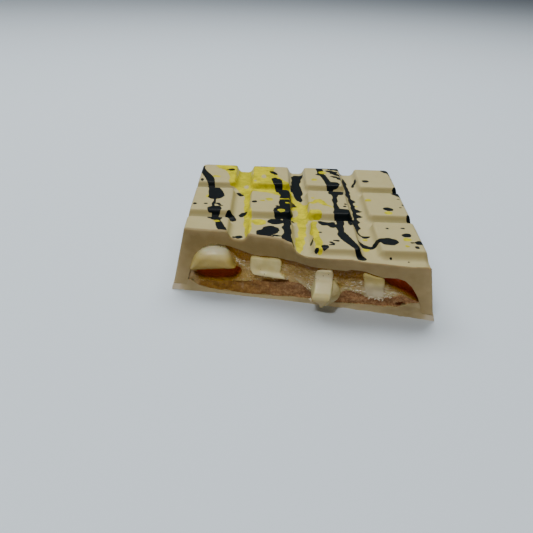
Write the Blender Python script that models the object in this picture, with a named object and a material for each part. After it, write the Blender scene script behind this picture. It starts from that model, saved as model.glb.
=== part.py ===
"""Half of a filled white chocolate bar with lemon gel, vanilla ganache and crunchy wafer.

The bar was snapped across between its third and fourth rows of blocks and lies flat, blocks up.
X runs across the columns, Y from the broken face to the moulded end, Z up from the underside.
Sizes below are in millimetres and are turned into metres where the meshes are made.
"""
import math

import bmesh
import bpy
from mathutils import Matrix, Vector, noise

MM = 0.001

# Mould: columns and rows of blocks
COLUMNS = 4
ROWS = 3
COLUMN_PITCH = 18.4
ROW_PITCH = 24.8
BLOCK_X = 12.2
BLOCK_Y = 18.3
BLOCK_CORNER = 1.0
HEIGHT = 20.3
GROOVE_DEPTH = 2.5
GROOVE_SLOPE = math.radians(62)
BLOCK_EDGE_RADIUS = 0.5
GROOVE_FLOOR_RADIUS = 1.2

# Side walls of the mould
WALL_DRAFT = 0.19
EDGE_DROP = 0.5
EDGE_RUN = 0.7
CORNER_RADIUS = 1.6

# Underside that closes the bar
SEAM_Z = 2.0
LIP_OUT = 0.12
LIP_FOOT = 0.6
GAP = 0.3

# Inside of the shell
INNER_BACK_MARGIN = 4.2
ROPE_END_MARGIN = 4.0

# Lengths that reach past what they cut
BEYOND_FRONT = 42.0
CUTTER_REACH = 60.0

# Line of the break seen from above, at the top and at the underside, from left to right
TOP_BREAK = [(-40.0, -23.2), (-34.0, -23.5), (-26.3, -24.0), (-21.7, -24.6), (-18.4, -25.8), (-13.0, -26.8),
             (-8.0, -27.7), (-5.9, -28.7), (-4.2, -30.7), (-2.2, -31.5), (-0.4, -32.7), (0.8, -33.7),
             (5.0, -34.6), (14.0, -35.9), (23.8, -38.2), (29.6, -39.2), (34.2, -39.6), (40.0, -39.8)]
BASE_BREAK = [(-40.0, -22.8), (-33.0, -23.4), (-25.0, -24.4), (-16.0, -25.9), (0.0, -28.5),
              (17.4, -31.7), (28.5, -34.4), (40.0, -37.3)]
TOP_BREAK_Z = 18.5

# Inner face of the shell at the break, from the foot of the left wall over to the right one
SHELL_INNER = [(-33.4, 0.0), (-33.0, 3.0), (-32.3, 6.4), (-31.5, 9.8), (-30.4, 12.3), (-28.4, 14.5),
               (-26.6, 15.7), (-24.4, 16.1), (-21.2, 15.7), (-16.0, 14.4), (-13.2, 13.9), (-6.0, 14.1),
               (-2.6, 14.5), (0.7, 14.6), (3.2, 13.7), (8.2, 13.6), (13.2, 14.4), (17.0, 14.3),
               (20.0, 13.3), (22.4, 12.8), (25.6, 13.0), (28.0, 12.4), (30.1, 10.5), (32.0, 7.8),
               (33.2, 5.0), (33.6, 2.6), (33.7, 0.0)]

# Top of the closing layer and of the wafer layer, from left to right
CLOSING_TOP = [(-33.0, 1.9), (-24.0, 1.5), (-13.3, 1.5), (1.5, 1.9), (10.6, 2.3), (18.5, 2.7), (26.0, 3.4), (33.2, 3.6)]
WAFER_TOP = [(-32.9, 4.1), (-24.0, 4.4), (-20.7, 4.6), (-17.2, 5.6), (-10.8, 5.9), (-3.1, 7.3),
             (2.0, 7.5), (11.8, 6.6), (13.6, 7.0), (16.0, 6.3), (19.2, 4.6), (23.0, 5.2),
             (27.2, 7.0), (30.3, 6.3), (33.3, 5.4)]

# Ropes of ganache at the break, each outline clockwise from its lower left
ROPES = {
    "ganache_1": [(-31.7, 6.6), (-31.3, 9.6), (-30.2, 12.0), (-28.3, 14.0), (-26.4, 15.2), (-24.4, 15.6),
                  (-22.6, 15.2), (-21.0, 14.3), (-20.0, 12.9), (-19.7, 11.2), (-20.0, 9.4), (-20.7, 8.4),
                  (-23.8, 7.9), (-28.5, 6.9)],
    "ganache_2": [(-13.4, 7.2), (-14.5, 9.0), (-14.6, 11.3), (-14.1, 13.4), (-10.4, 13.5), (-6.1, 13.7),
                  (-5.5, 11.3), (-5.8, 9.3), (-4.5, 8.3), (-5.6, 7.3), (-10.7, 6.6)],
    "ganache_3": [(3.5, 7.9), (3.6, 10.5), (3.7, 13.2), (6.0, 13.2), (8.4, 13.2), (8.7, 10.5), (9.0, 7.7)],
    "ganache_4": [(18.8, 5.3), (17.9, 8.0), (17.4, 11.0), (17.3, 13.8), (20.0, 12.9), (22.5, 12.4),
                  (23.0, 9.0), (22.6, 6.0), (20.8, 5.2)],
}

# The third rope ran down over the broken face: its tongue seen from the front
TONGUE = [(3.6, 12.4), (3.5, 8.0), (3.2, 5.0), (3.0, 3.4), (4.0, 2.7), (5.6, 1.7), (5.8, 0.5), (6.5, 0.5),
          (7.4, 2.2), (8.8, 3.3), (9.1, 5.0), (8.9, 8.0), (8.6, 12.4)]
TONGUE_OUT = 1.5
TONGUE_IN = 0.6
TONGUE_FREE_Z = 3.2

# Hollows that the break opened in the gel
POCKET_CENTRE = (-24.2, -24.2, 6.3)
POCKET_RADII = (7.6, 7.5, 2.5)
RECESS = [(23.3, 10.9), (25.0, 10.1), (27.1, 9.5), (29.3, 8.1), (31.4, 6.8), (34.0, 5.6), (34.0, 14.0), (23.0, 14.0)]
RECESS_DEPTH = 5.0


def interpolate(knots, x):
    """Height of the line through the knots at x, held level past its ends."""
    if x <= knots[0][0]:
        return knots[0][1]
    for (x0, y0), (x1, y1) in zip(knots, knots[1:]):
        if x <= x1:
            return y0 + (y1 - y0) * (x - x0) / (x1 - x0)
    return knots[-1][1]


def wall_half_width(z):
    """Half the bar's width at a height, by the draft of the mould."""
    top = (COLUMNS - 1) / 2 * COLUMN_PITCH + BLOCK_X / 2
    return top + WALL_DRAFT * (HEIGHT - z)


def wall_back(z):
    """Place of the moulded end along Y at a height."""
    top = (ROWS - 1) / 2 * ROW_PITCH + BLOCK_Y / 2
    return top + WALL_DRAFT * (HEIGHT - z)


def break_y(x, z):
    """The broken face: it leans forward towards the top, more so in the right half."""
    share = min(max(z / TOP_BREAK_Z, 0.0), 1.0)
    low = interpolate(BASE_BREAK, x)
    return low + (interpolate(TOP_BREAK, x) - low) * share


# The origin lies midway between the ledge's right end at the break and the lip at the moulded end
FRONT_MOST = break_y(wall_half_width(HEIGHT), HEIGHT - GROOVE_DEPTH)
BACK_MOST = wall_back(SEAM_Z) + LIP_FOOT
CENTRE_SHIFT = -(FRONT_MOST + BACK_MOST) / 2


def groove_drop(s):
    """How far the surface has dropped at a distance s outside a block's top edge."""
    tangent_edge = BLOCK_EDGE_RADIUS * math.tan(GROOVE_SLOPE / 2)
    tangent_floor = GROOVE_FLOOR_RADIUS * math.tan(GROOVE_SLOPE / 2)
    run = GROOVE_DEPTH / math.tan(GROOVE_SLOPE)
    if s <= -tangent_edge:
        return 0.0
    if s <= tangent_edge * math.cos(GROOVE_SLOPE):
        return BLOCK_EDGE_RADIUS - math.sqrt(BLOCK_EDGE_RADIUS ** 2 - (s + tangent_edge) ** 2)
    if s <= run - tangent_floor * math.cos(GROOVE_SLOPE):
        return s * math.tan(GROOVE_SLOPE)
    if s <= run + tangent_floor:
        rest = run + tangent_floor - s
        return GROOVE_DEPTH - (GROOVE_FLOOR_RADIUS - math.sqrt(GROOVE_FLOOR_RADIUS ** 2 - rest ** 2))
    return GROOVE_DEPTH


def groove_stations():
    """Distances from a block's edge at which the groove's profile turns."""
    tangent_edge = BLOCK_EDGE_RADIUS * math.tan(GROOVE_SLOPE / 2)
    tangent_floor = GROOVE_FLOOR_RADIUS * math.tan(GROOVE_SLOPE / 2)
    run = GROOVE_DEPTH / math.tan(GROOVE_SLOPE)
    floor_start = run - tangent_floor * math.cos(GROOVE_SLOPE)
    floor_end = run + tangent_floor
    return [-tangent_edge, tangent_edge * math.cos(GROOVE_SLOPE), floor_start,
            (floor_start + floor_end) / 2, floor_end]


def outside(value, centre, half, open_low, open_high):
    """Distance past a block's side along one axis; an outer block runs on to the wall."""
    low = -1000.0 if open_low else centre - half
    high = 1000.0 if open_high else centre + half
    return max(low - value, value - high)


def block_distance(x, y):
    """Signed distance to the nearest block's rounded outline, seen from above."""
    best = 1000.0
    for column in range(COLUMNS):
        centre_x = (column - (COLUMNS - 1) / 2) * COLUMN_PITCH
        dx = outside(x, centre_x, BLOCK_X / 2, column == 0, column == COLUMNS - 1) + BLOCK_CORNER
        for row in range(-1, ROWS):
            centre_y = (row - (ROWS - 1) / 2) * ROW_PITCH
            dy = outside(y, centre_y, BLOCK_Y / 2, False, row == ROWS - 1) + BLOCK_CORNER
            distance = math.hypot(max(dx, 0.0), max(dy, 0.0)) + min(max(dx, dy), 0.0) - BLOCK_CORNER
            best = min(best, distance)
    return best


def grid_lines(count, pitch, block, low_end, high_end):
    """Coordinates along one axis at which the top surface needs a row of points."""
    lines = {low_end, high_end}
    for index in range(count - 1):
        middle = (index - (count - 2) / 2) * pitch
        half_gap = (pitch - block) / 2
        for station in groove_stations():
            lines.add(middle - half_gap + station)
            lines.add(middle + half_gap - station)
    return sorted(lines)


def edge_lines(limit):
    """Lines just inside an outer edge, for its rounding and for the corner's arc."""
    return [limit - CORNER_RADIUS, limit - EDGE_RUN, limit - EDGE_RUN / 4]


def grid_mesh(columns, rows, place):
    """A closed-over grid of points: place(u, v) gives each point from its two line values."""
    bm = bmesh.new()
    bmesh.ops.create_grid(bm, x_segments=len(columns) - 1, y_segments=len(rows) - 1, size=1.0)
    for vert in bm.verts:
        i = round((vert.co.x + 1) / 2 * (len(columns) - 1))
        j = round((vert.co.y + 1) / 2 * (len(rows) - 1))
        vert.co = place(columns[i], rows[j])
    return bm


def close_below(bm, foot):
    """Runs the grid's rim down to foot(point) and closes it with one face."""
    rim = [edge for edge in bm.edges if edge.is_boundary]
    made = bmesh.ops.extrude_edge_only(bm, edges=rim)["geom"]
    lower = [item for item in made if isinstance(item, bmesh.types.BMVert)]
    for vert in lower:
        vert.co = foot(vert.co)
    bottom = [item for item in made if isinstance(item, bmesh.types.BMEdge) and item.is_boundary]
    bmesh.ops.edgenet_fill(bm, edges=bottom)
    bmesh.ops.recalc_face_normals(bm, faces=bm.faces)


def to_object(bm, name, collection):
    """Turns a mesh in millimetres about the grid of blocks into an object in metres."""
    bmesh.ops.transform(bm, matrix=Matrix.Scale(MM, 4) @ Matrix.Translation((0, CENTRE_SHIFT, 0)), verts=bm.verts)
    mesh = bpy.data.meshes.new(name)
    bm.to_mesh(mesh)
    bm.free()
    obj = bpy.data.objects.new(name, mesh)
    collection.objects.link(obj)
    return obj


def prism(outline, front, back):
    """A solid with an outline in X and Z that runs from front to back along Y."""
    bm = bmesh.new()
    bm.faces.new([bm.verts.new((x, front, z)) for x, z in outline])
    made = bmesh.ops.extrude_face_region(bm, geom=bm.faces[:])["geom"]
    moved = [item for item in made if isinstance(item, bmesh.types.BMVert)]
    bmesh.ops.translate(bm, verts=moved, vec=(0, back - front, 0))
    bmesh.ops.recalc_face_normals(bm, faces=bm.faces)
    return bm


def as_cutter(obj):
    """A cutter is never rendered and shows as wire."""
    obj.hide_render = True
    obj.display_type = "WIRE"
    return obj


def boolean(obj, other, operation, solver="EXACT"):
    """Adds a Boolean modifier; both meshes are closed, so either solver can work on them."""
    modifier = obj.modifiers.new(other.name, "BOOLEAN")
    modifier.operation = operation
    modifier.object = other
    modifier.solver = solver


def front_cutter(name, step_x, step_z, relief, collection):
    """What the break took away: everything in front of the broken face.

    relief(x, z) moves the face back by some millimetres, which gives each filling its own roughness.
    """
    half = wall_half_width(0.0) + 3.0
    low, high = -3.0, HEIGHT + 3.0
    count_x = round(2 * half / step_x)
    count_z = round((high - low) / step_z)
    columns = [-half + 2 * half * i / count_x for i in range(count_x + 1)]
    rows = [low + (high - low) * j / count_z for j in range(count_z + 1)]
    bm = grid_mesh(columns, rows, lambda x, z: Vector((x, break_y(x, z) + relief(x, z), z)))
    close_below(bm, lambda point: Vector((point.x, -CUTTER_REACH, point.z)))
    return as_cutter(to_object(bm, name, collection))


def lumps(x, z, size, amount, seed):
    """Smooth seeded unevenness of about one millimetre times amount."""
    return amount * noise.noise(Vector((x / size, z / size, seed)))


def round_corner(x, y, half, back):
    """Bends the grid's square back corners onto an arc."""
    centre_x = half - CORNER_RADIUS
    centre_y = back - CORNER_RADIUS
    u = abs(x) - centre_x
    v = y - centre_y
    if u <= 0 or v <= 0:
        return x, y
    scale = max(u, v) / math.hypot(u, v)
    return math.copysign(centre_x + u * scale, x), centre_y + v * scale


def shell_solid(collection):
    """The moulded shell before it is hollowed: blocks, grooves and drafted walls."""
    half_top = wall_half_width(HEIGHT - EDGE_DROP)
    back_top = wall_back(HEIGHT - EDGE_DROP)
    columns = grid_lines(COLUMNS, COLUMN_PITCH, BLOCK_X, -half_top, half_top)
    columns = sorted(set(columns + edge_lines(half_top) + [-line for line in edge_lines(half_top)]))
    rows = grid_lines(ROWS, ROW_PITCH, BLOCK_Y, -BEYOND_FRONT, back_top)
    front_groove = -ROWS / 2 * ROW_PITCH
    half_gap = (ROW_PITCH - BLOCK_Y) / 2
    rows += [front_groove + half_gap - station for station in groove_stations()]
    rows += [front_groove - half_gap + station for station in groove_stations()]
    rows = sorted(set(rows + edge_lines(back_top)))
    rows = [line for line in rows if line >= -BEYOND_FRONT]

    def place(x, y):
        z = HEIGHT - groove_drop(block_distance(x, y))
        inset = min(half_top - abs(x), back_top - y)
        z -= EDGE_DROP * max(0.0, 1 - inset / EDGE_RUN) ** 2
        side = abs(x) > half_top - 1e-6
        end = y > back_top - 1e-6
        if side:
            x = math.copysign(wall_half_width(z), x)
        if end:
            y = wall_back(z)
        x, y = round_corner(x, y, wall_half_width(z), wall_back(z))
        return Vector((x, y, z))

    def foot(point):
        grow = WALL_DRAFT * (point.z - SEAM_Z - GAP)
        x, y = point.x, point.y
        if abs(x) > half_top - CORNER_RADIUS and (y < back_top - CORNER_RADIUS or abs(x) > half_top - 1):
            x += math.copysign(grow, x)
        if y > back_top - CORNER_RADIUS:
            y += grow
        return Vector((x, y, SEAM_Z + GAP))

    bm = grid_mesh(columns, rows, place)
    close_below(bm, foot)
    return to_object(bm, "shell", collection)


def closing_layer(collection):
    """The layer that closes the bar underneath, with the lip it leaves round the mould's rim."""
    half = wall_half_width(SEAM_Z) + LIP_OUT
    back = wall_back(SEAM_Z) + LIP_OUT
    inner_half = abs(SHELL_INNER[1][0]) - GAP
    inner_back = wall_back(SEAM_Z) - INNER_BACK_MARGIN
    steps = [inner_half * (2 * i / 16 - 1) for i in range(17)]
    columns = sorted(set([-half, -half + CORNER_RADIUS, -inner_half - GAP] + steps
                         + [inner_half + GAP, half - CORNER_RADIUS, half]))
    rows = [-BEYOND_FRONT, inner_back - GAP, inner_back, back - CORNER_RADIUS, back - CORNER_RADIUS / 2, back]

    def place(x, y):
        z = SEAM_Z
        if abs(x) <= inner_half and y <= inner_back - GAP:
            z = interpolate(CLOSING_TOP, x)
        x, y = round_corner(x, y, half, back)
        return Vector((x, y, z))

    def foot(point):
        x = point.x * (half + LIP_FOOT - LIP_OUT) / half
        y = point.y
        if y > 0:
            y *= (back + LIP_FOOT - LIP_OUT) / back
        return Vector((x, y, 0.0))

    bm = grid_mesh(columns, rows, place)
    close_below(bm, foot)
    return to_object(bm, "closing_layer", collection)


def within_walls(outline):
    """Keeps a filling's section clear of the shell's two side walls."""
    left = [(z, x) for x, z in SHELL_INNER if x < -30.0]
    right = [(z, x) for x, z in reversed(SHELL_INNER) if x > 30.0]
    return [(min(max(x, interpolate(left, z) + GAP), interpolate(right, z) - GAP), z) for x, z in outline]


def wafer_outline():
    """Section of the wafer layer, between the closing layer and the gel."""
    low = [(x, z + GAP) for x, z in CLOSING_TOP]
    return within_walls([low[0]] + WAFER_TOP + low[:0:-1])


def gel_outline():
    """Section of the whole gel zone, between the wafer layer and the shell."""
    upper = [(x - math.copysign(GAP, x), z - GAP) for x, z in SHELL_INNER if z > 6.0]
    lower = within_walls([(x, z + GAP) for x, z in WAFER_TOP])
    return upper + lower[::-1]


def grown(outline, amount):
    """An outline moved outwards by an amount, point by point about its middle."""
    middle_x = sum(x for x, _ in outline) / len(outline)
    middle_z = sum(z for _, z in outline) / len(outline)
    moved = []
    for x, z in outline:
        away = Vector((x - middle_x, z - middle_z)).normalized()
        moved.append((x + away.x * amount, z + away.y * amount))
    return moved


def channel_outline(outline):
    """Room for a rope in the gel: clear of it all round, and through to the shell above it."""
    room = grown(outline, GAP * 1.6)
    highest = max(z for _, z in outline)
    return [(x, z + 1.5 if z > highest - 0.9 else z) for x, z in room]


def ellipsoid(name, centre, radii, collection):
    """A ball stretched along the three axes."""
    bm = bmesh.new()
    bmesh.ops.create_uvsphere(bm, u_segments=20, v_segments=12, radius=1.0)
    stretch = Matrix.Diagonal((*radii, 1.0))
    bmesh.ops.transform(bm, matrix=Matrix.Translation(centre) @ stretch, verts=bm.verts)
    return as_cutter(to_object(bm, name, collection))


def tongue_mesh(grow_by):
    """The tongue of the third rope: its front outline given a thickness along the broken face."""
    outline = grown(TONGUE, grow_by)
    bm = prism(outline, -TONGUE_OUT - grow_by, TONGUE_IN + grow_by)
    for vert in bm.verts:
        if vert.co.z < TONGUE_FREE_Z and vert.co.y > 0:
            vert.co.y = 2 * grow_by - GAP
        vert.co.y += break_y(vert.co.x, max(vert.co.z, 0.0))
    return bm


def material(name, colour, roughness, metallic=0.0):
    """A plain Principled material."""
    made = bpy.data.materials.new(name)
    made.use_nodes = True
    shader = made.node_tree.nodes["Principled BSDF"]
    shader.inputs["Base Color"].default_value = (*colour, 1.0)
    shader.inputs["Roughness"].default_value = roughness
    shader.inputs["Metallic"].default_value = metallic
    return made


def new_collection(name):
    collection = bpy.data.collections.new(name)
    bpy.context.scene.collection.children.link(collection)
    return collection


def main():
    for obj in list(bpy.data.objects):
        bpy.data.objects.remove(obj, do_unlink=True)
    bar = new_collection("lemon_bar")
    cutters = new_collection("cutters")

    chocolate = material("white_chocolate", (0.62, 0.54, 0.38), 0.42)
    closing = material("white_chocolate_closing_layer", (0.60, 0.52, 0.37), 0.5)
    wafer_crumb = material("crunchy_wafer", (0.36, 0.18, 0.10), 0.75)
    lemon_gel = material("lemon_gel", (0.50, 0.30, 0.11), 0.18)
    ganache = material("vanilla_ganache", (0.76, 0.70, 0.44), 0.5)

    smooth_break = front_cutter("break", 2.0, 3.0, lambda x, z: 0.0, cutters)
    wafer_break = front_cutter("break_in_wafer", 1.4, 1.4, lambda x, z: 0.3 + lumps(x, z, 1.9, 0.5, 2.0), cutters)
    gel_break = front_cutter("break_in_gel", 1.7, 1.7, lambda x, z: 0.5 + lumps(x, z, 3.1, 0.7, 5.0), cutters)
    rope_break = front_cutter("break_in_ganache", 2.0, 2.0, lambda x, z: lumps(x, z, 4.0, 0.4, 8.0) - 0.1, cutters)

    inner_back = wall_back(SEAM_Z) - INNER_BACK_MARGIN
    shell = shell_solid(bar)
    inside = as_cutter(to_object(prism(SHELL_INNER, -CUTTER_REACH, inner_back), "inside_of_shell", cutters))
    boolean(shell, inside, "DIFFERENCE")
    boolean(shell, smooth_break, "DIFFERENCE")
    shell.data.materials.append(chocolate)

    base = closing_layer(bar)
    boolean(base, smooth_break, "DIFFERENCE")
    base.data.materials.append(closing)

    filling_back = inner_back - GAP
    wafer = to_object(prism(wafer_outline(), -BEYOND_FRONT, filling_back), "wafer_layer", bar)
    gel = to_object(prism(gel_outline(), -BEYOND_FRONT, filling_back), "lemon_gel", bar)
    notch = as_cutter(to_object(tongue_mesh(GAP), "notch_for_tongue", cutters))
    boolean(wafer, wafer_break, "DIFFERENCE")
    boolean(wafer, notch, "DIFFERENCE")
    wafer.data.materials.append(wafer_crumb)

    boolean(gel, gel_break, "DIFFERENCE")
    rope_back = filling_back - ROPE_END_MARGIN
    for name, outline in ROPES.items():
        channel = to_object(prism(channel_outline(outline), -CUTTER_REACH, rope_back + GAP), name + "_channel", cutters)
        boolean(gel, as_cutter(channel), "DIFFERENCE")
        rope = to_object(prism(outline, -BEYOND_FRONT, rope_back), name, bar)
        boolean(rope, rope_break, "DIFFERENCE")
        rope.data.materials.append(ganache)
    boolean(gel, notch, "DIFFERENCE")
    boolean(gel, ellipsoid("pocket", POCKET_CENTRE, POCKET_RADII, cutters), "DIFFERENCE")
    recess_back = break_y(RECESS[2][0], RECESS[2][1]) + RECESS_DEPTH
    recess = as_cutter(to_object(prism(RECESS, -CUTTER_REACH, recess_back), "recess", cutters))
    boolean(gel, recess, "DIFFERENCE", "MANIFOLD")
    gel.data.materials.append(lemon_gel)

    tongue = as_cutter(to_object(tongue_mesh(0.0), "tongue", cutters))
    boolean(bar.objects["ganache_3"], tongue, "UNION")


main()
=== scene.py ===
# %% [markdown]
# # Half a filled white chocolate bar, dressed
# The bar was cast in a mould of four columns by six rows and snapped across, so one half shows its
# fillings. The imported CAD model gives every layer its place. This lesson gives each layer its fine
# surface: a shell with splashes of coloured cocoa butter, a porous wafer, a moist gel and soft ganache.
# All sizes are in millimetres about the middle of the grid of blocks, and become metres at the end.

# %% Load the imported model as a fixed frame
import math
import random

import bmesh
import bpy
import numpy as np
from mathutils import Matrix, Vector, noise


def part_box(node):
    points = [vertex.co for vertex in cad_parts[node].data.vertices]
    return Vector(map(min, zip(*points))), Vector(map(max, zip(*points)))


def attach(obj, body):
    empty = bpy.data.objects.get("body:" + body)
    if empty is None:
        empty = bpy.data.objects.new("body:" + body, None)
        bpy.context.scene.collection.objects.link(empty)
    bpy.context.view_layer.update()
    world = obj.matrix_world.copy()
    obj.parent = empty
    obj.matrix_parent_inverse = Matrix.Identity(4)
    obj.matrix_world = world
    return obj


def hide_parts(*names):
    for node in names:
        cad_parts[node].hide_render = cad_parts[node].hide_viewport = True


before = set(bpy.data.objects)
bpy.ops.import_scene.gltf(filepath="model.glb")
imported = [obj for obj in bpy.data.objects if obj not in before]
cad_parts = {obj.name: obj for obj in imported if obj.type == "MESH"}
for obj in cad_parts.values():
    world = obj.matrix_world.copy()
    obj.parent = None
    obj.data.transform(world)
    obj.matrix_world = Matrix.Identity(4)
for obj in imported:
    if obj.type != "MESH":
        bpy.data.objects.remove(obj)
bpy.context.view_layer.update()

# %% [markdown]
# ## Sizes of the mould
# A moulded bar is ruled by a few sizes: the pitch of its blocks, the depth of the grooves between them
# and the draft of its walls, which lets the bar drop out of the mould. Every shape below is worked out
# from them, so the dressed bar keeps to the CAD solids.

# %% Sizes
MM = 0.001
COLUMNS = 4
ROWS = 3
COLUMN_PITCH = 18.4
ROW_PITCH = 24.8
BLOCK_X = 12.2
BLOCK_Y = 18.3
# The blocks behind the break reach this much further back than their half length
BLOCK_BACK = 1.0
BLOCK_CORNER = 1.0
HEIGHT = 20.3
GROOVE_DEPTH = 2.4
GROOVE_SLOPE = math.radians(66)
BLOCK_EDGE_RADIUS = 0.7
GROOVE_FLOOR_RADIUS = 1.7
WALL_DRAFT = 0.19
EDGE_DROP = 0.5
EDGE_RUN = 0.7
CORNER_RADIUS = 1.6
SEAM_Z = 2.0
LIP_OUT = 0.12
LIP_FOOT = 0.6
INNER_BACK_MARGIN = 4.2
ROPE_END_MARGIN = 4.0
LAYER_GAP = 0.3
BEYOND_FRONT = 42.0
CUTTER_REACH = 60.0
FAR = 1000.0
TINY = 1e-9
HALF_X = (COLUMNS - 1) / 2 * COLUMN_PITCH + BLOCK_X / 2
HALF_Y = (ROWS - 1) / 2 * ROW_PITCH + BLOCK_Y / 2


def wall_half_width(z):
    """Half the bar's width at a height, by the draft of the mould."""
    return HALF_X + WALL_DRAFT * (HEIGHT - z)


def wall_back(z):
    """Place of the moulded end along Y at a height."""
    return HALF_Y + WALL_DRAFT * (HEIGHT - z)


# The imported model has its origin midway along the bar, so the grid of blocks sits a little off it
CENTRE_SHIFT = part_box("closing_layer")[1][1] / MM - (wall_back(SEAM_Z) + LIP_FOOT)
INNER_BACK = wall_back(SEAM_Z) - INNER_BACK_MARGIN
LAYER_BACK = INNER_BACK - LAYER_GAP
print("grid of blocks lies", round(CENTRE_SHIFT, 3), "mm behind the origin")

# %% [markdown]
# ## Camera
# The camera stands close in front of the broken face and looks down on the blocks by about 24 degrees.
# A camera's matrix can be written from three directions: to the right, up, and backwards. The photograph
# is a cut from a larger one, so its middle isn't the lens's middle, and a small shift puts that right.

# %% Camera
CAMERA_PLACE = Vector((-10.73, -190.77, 95.88))
LOOK_RIGHT = Vector((0.99893, -0.01671, 0.04311))
LOOK_DOWN = Vector((0.03252, -0.40874, -0.91207))
LOOK_FORWARD = Vector((0.03286, 0.91250, -0.40776))

lens = bpy.data.cameras.new("camera")
lens.sensor_width = 36.0
lens.lens = 43.42
lens.shift_x = -0.0365
lens.shift_y = -0.0714
lens.clip_start = 0.01
lens.clip_end = 30.0
camera = bpy.data.objects.new("camera", lens)
turn = Matrix((LOOK_RIGHT, -LOOK_DOWN, -LOOK_FORWARD)).transposed().to_4x4()
camera.matrix_world = Matrix.Translation((CAMERA_PLACE + Vector((0, CENTRE_SHIFT, 0))) * MM) @ turn
bpy.context.scene.collection.objects.link(camera)
bpy.context.scene.camera = camera
print("camera stands", round(CAMERA_PLACE.length), "mm from the middle of the bar")

# %% [markdown]
# ## A class for shader maths
# Shader nodes can be wired by hand, but a formula is easier to read than a web of wires. A Signal wraps
# one output socket, and Python's own operators on it add the Math nodes. A Finish holds one material
# and makes every other node through one method: type, settings, then what goes into its sockets.

# %% Signal and Finish


class Signal:
    """An output socket that takes part in Python arithmetic."""

    def __init__(self, finish, socket):
        self.finish = finish
        self.socket = socket

    def maths(self, operation, first, second=0.0):
        return self.finish.node("ShaderNodeMath", {"operation": operation}, {0: first, 1: second})

    def __add__(self, other):
        return self.maths("ADD", self, other)

    __radd__ = __add__

    def __sub__(self, other):
        return self.maths("SUBTRACT", self, other)

    def __rsub__(self, other):
        return self.maths("SUBTRACT", other, self)

    def __mul__(self, other):
        return self.maths("MULTIPLY", self, other)

    __rmul__ = __mul__

    def rise(self, low, high):
        """Goes smoothly from 0 to 1 as the signal passes from low to high."""
        return self.finish.node("ShaderNodeMapRange", {"interpolation_type": "SMOOTHSTEP"},
                                {0: self, 1: low, 2: high, 3: 0.0, 4: 1.0})


class Finish:
    """A material, made from signals."""

    def __init__(self, name):
        self.material = bpy.data.materials.new(name)
        self.material.use_nodes = True
        self.tree = self.material.node_tree
        self.shader = self.tree.nodes["Principled BSDF"]
        coordinates = self.node("ShaderNodeTexCoord", output="Object")
        self.place = self.node("ShaderNodeVectorMath", {"operation": "SCALE"}, {0: coordinates, 3: 1 / MM})

    def feed(self, socket, value):
        """Links a signal to a socket, or sets a plain value or colour on it."""
        if isinstance(value, Signal):
            self.tree.links.new(value.socket, socket)
        elif socket.type == "RGBA":
            socket.default_value = (*value, 1.0)
        else:
            socket.default_value = value

    def node(self, kind, settings=None, values=None, output=0):
        made = self.tree.nodes.new(kind)
        for name, value in (settings or {}).items():
            setattr(made, name, value)
        for key, value in (values or {}).items():
            self.feed(made.inputs[key], value)
        return Signal(self, made.outputs[output])

    def blend(self, share, first, second):
        """Goes from the first colour to the second as share goes from 0 to 1."""
        return self.node("ShaderNodeMix", {"data_type": "RGBA"}, {0: share, 6: first, 7: second}, output=2)

    def attribute(self, name):
        """A number stored on each point of the mesh."""
        return self.node("ShaderNodeAttribute", {"attribute_name": name}, output="Fac")

    def stretched(self, x, y, z):
        """The place on the object, counted in cells of x by y by z millimetres."""
        return self.node("ShaderNodeVectorMath", {"operation": "MULTIPLY"},
                         {0: self.place, 1: (1 / x, 1 / y, 1 / z)})

    def cloud(self, size, detail=2.0, roughness=0.5, place=None):
        """Soft noise from 0 to 1 with lumps of about a size in millimetres."""
        return self.node("ShaderNodeTexNoise", {"noise_dimensions": "3D"},
                         {"Vector": place or self.place, "Scale": 1 / size, "Detail": detail,
                          "Roughness": roughness})

    def cells(self, size, place=None):
        """Distance to the nearest of the scattered points, in cells of a size in millimetres."""
        return self.node("ShaderNodeTexVoronoi", {"feature": "F1"},
                         {"Vector": place or self.place, "Scale": 1 / size}, output="Distance")

    def across(self, axis):
        """The place along one axis, in millimetres."""
        return self.node("ShaderNodeSeparateXYZ", None, {0: self.place}, output=axis)

    def relief(self, height, depth):
        """Turns a height from 0 to 1 into shading, as if it were a relief of a depth in millimetres."""
        return self.node("ShaderNodeBump", None,
                         {"Height": height, "Strength": 1.0, "Distance": depth * MM})

    def glow(self, share, reach, scale):
        """Lets light sink in: its share, how far each colour goes, and the scale in millimetres."""
        self.done(Subsurface_Weight=share, Subsurface_Radius=reach, Subsurface_Scale=scale * MM)

    def done(self, **sockets):
        """Feeds the shader's sockets by name, with underscores for spaces, and returns the material."""
        for name, value in sockets.items():
            self.feed(self.shader.inputs[name.replace("_", " ")], value)
        return self.material


# %% [markdown]
# ## Floor and light
# The studio is a pale, slightly cool sheet that fills the view. The main light is a wide soft panel
# above and behind the bar, so the tops of the blocks are bright and the face of the break is in shade.
# A small warm panel in front lifts that shade, and a very small one gives the wet gel its glints. The
# floor is kept out of bounced light, because a pale floor so close would otherwise wash out the warm
# shade on the broken face. Area lights are used because their softness is simply their size.

# %% Floor and light
FLOOR_HALF = 9.0
PAPER_COLOUR = (0.68, 0.79, 0.91)
ROOM_COLOUR = (0.07, 0.072, 0.075, 1.0)


def new_object(name, mesh):
    made = bpy.data.objects.new(name, mesh)
    bpy.context.scene.collection.objects.link(made)
    return made


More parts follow.
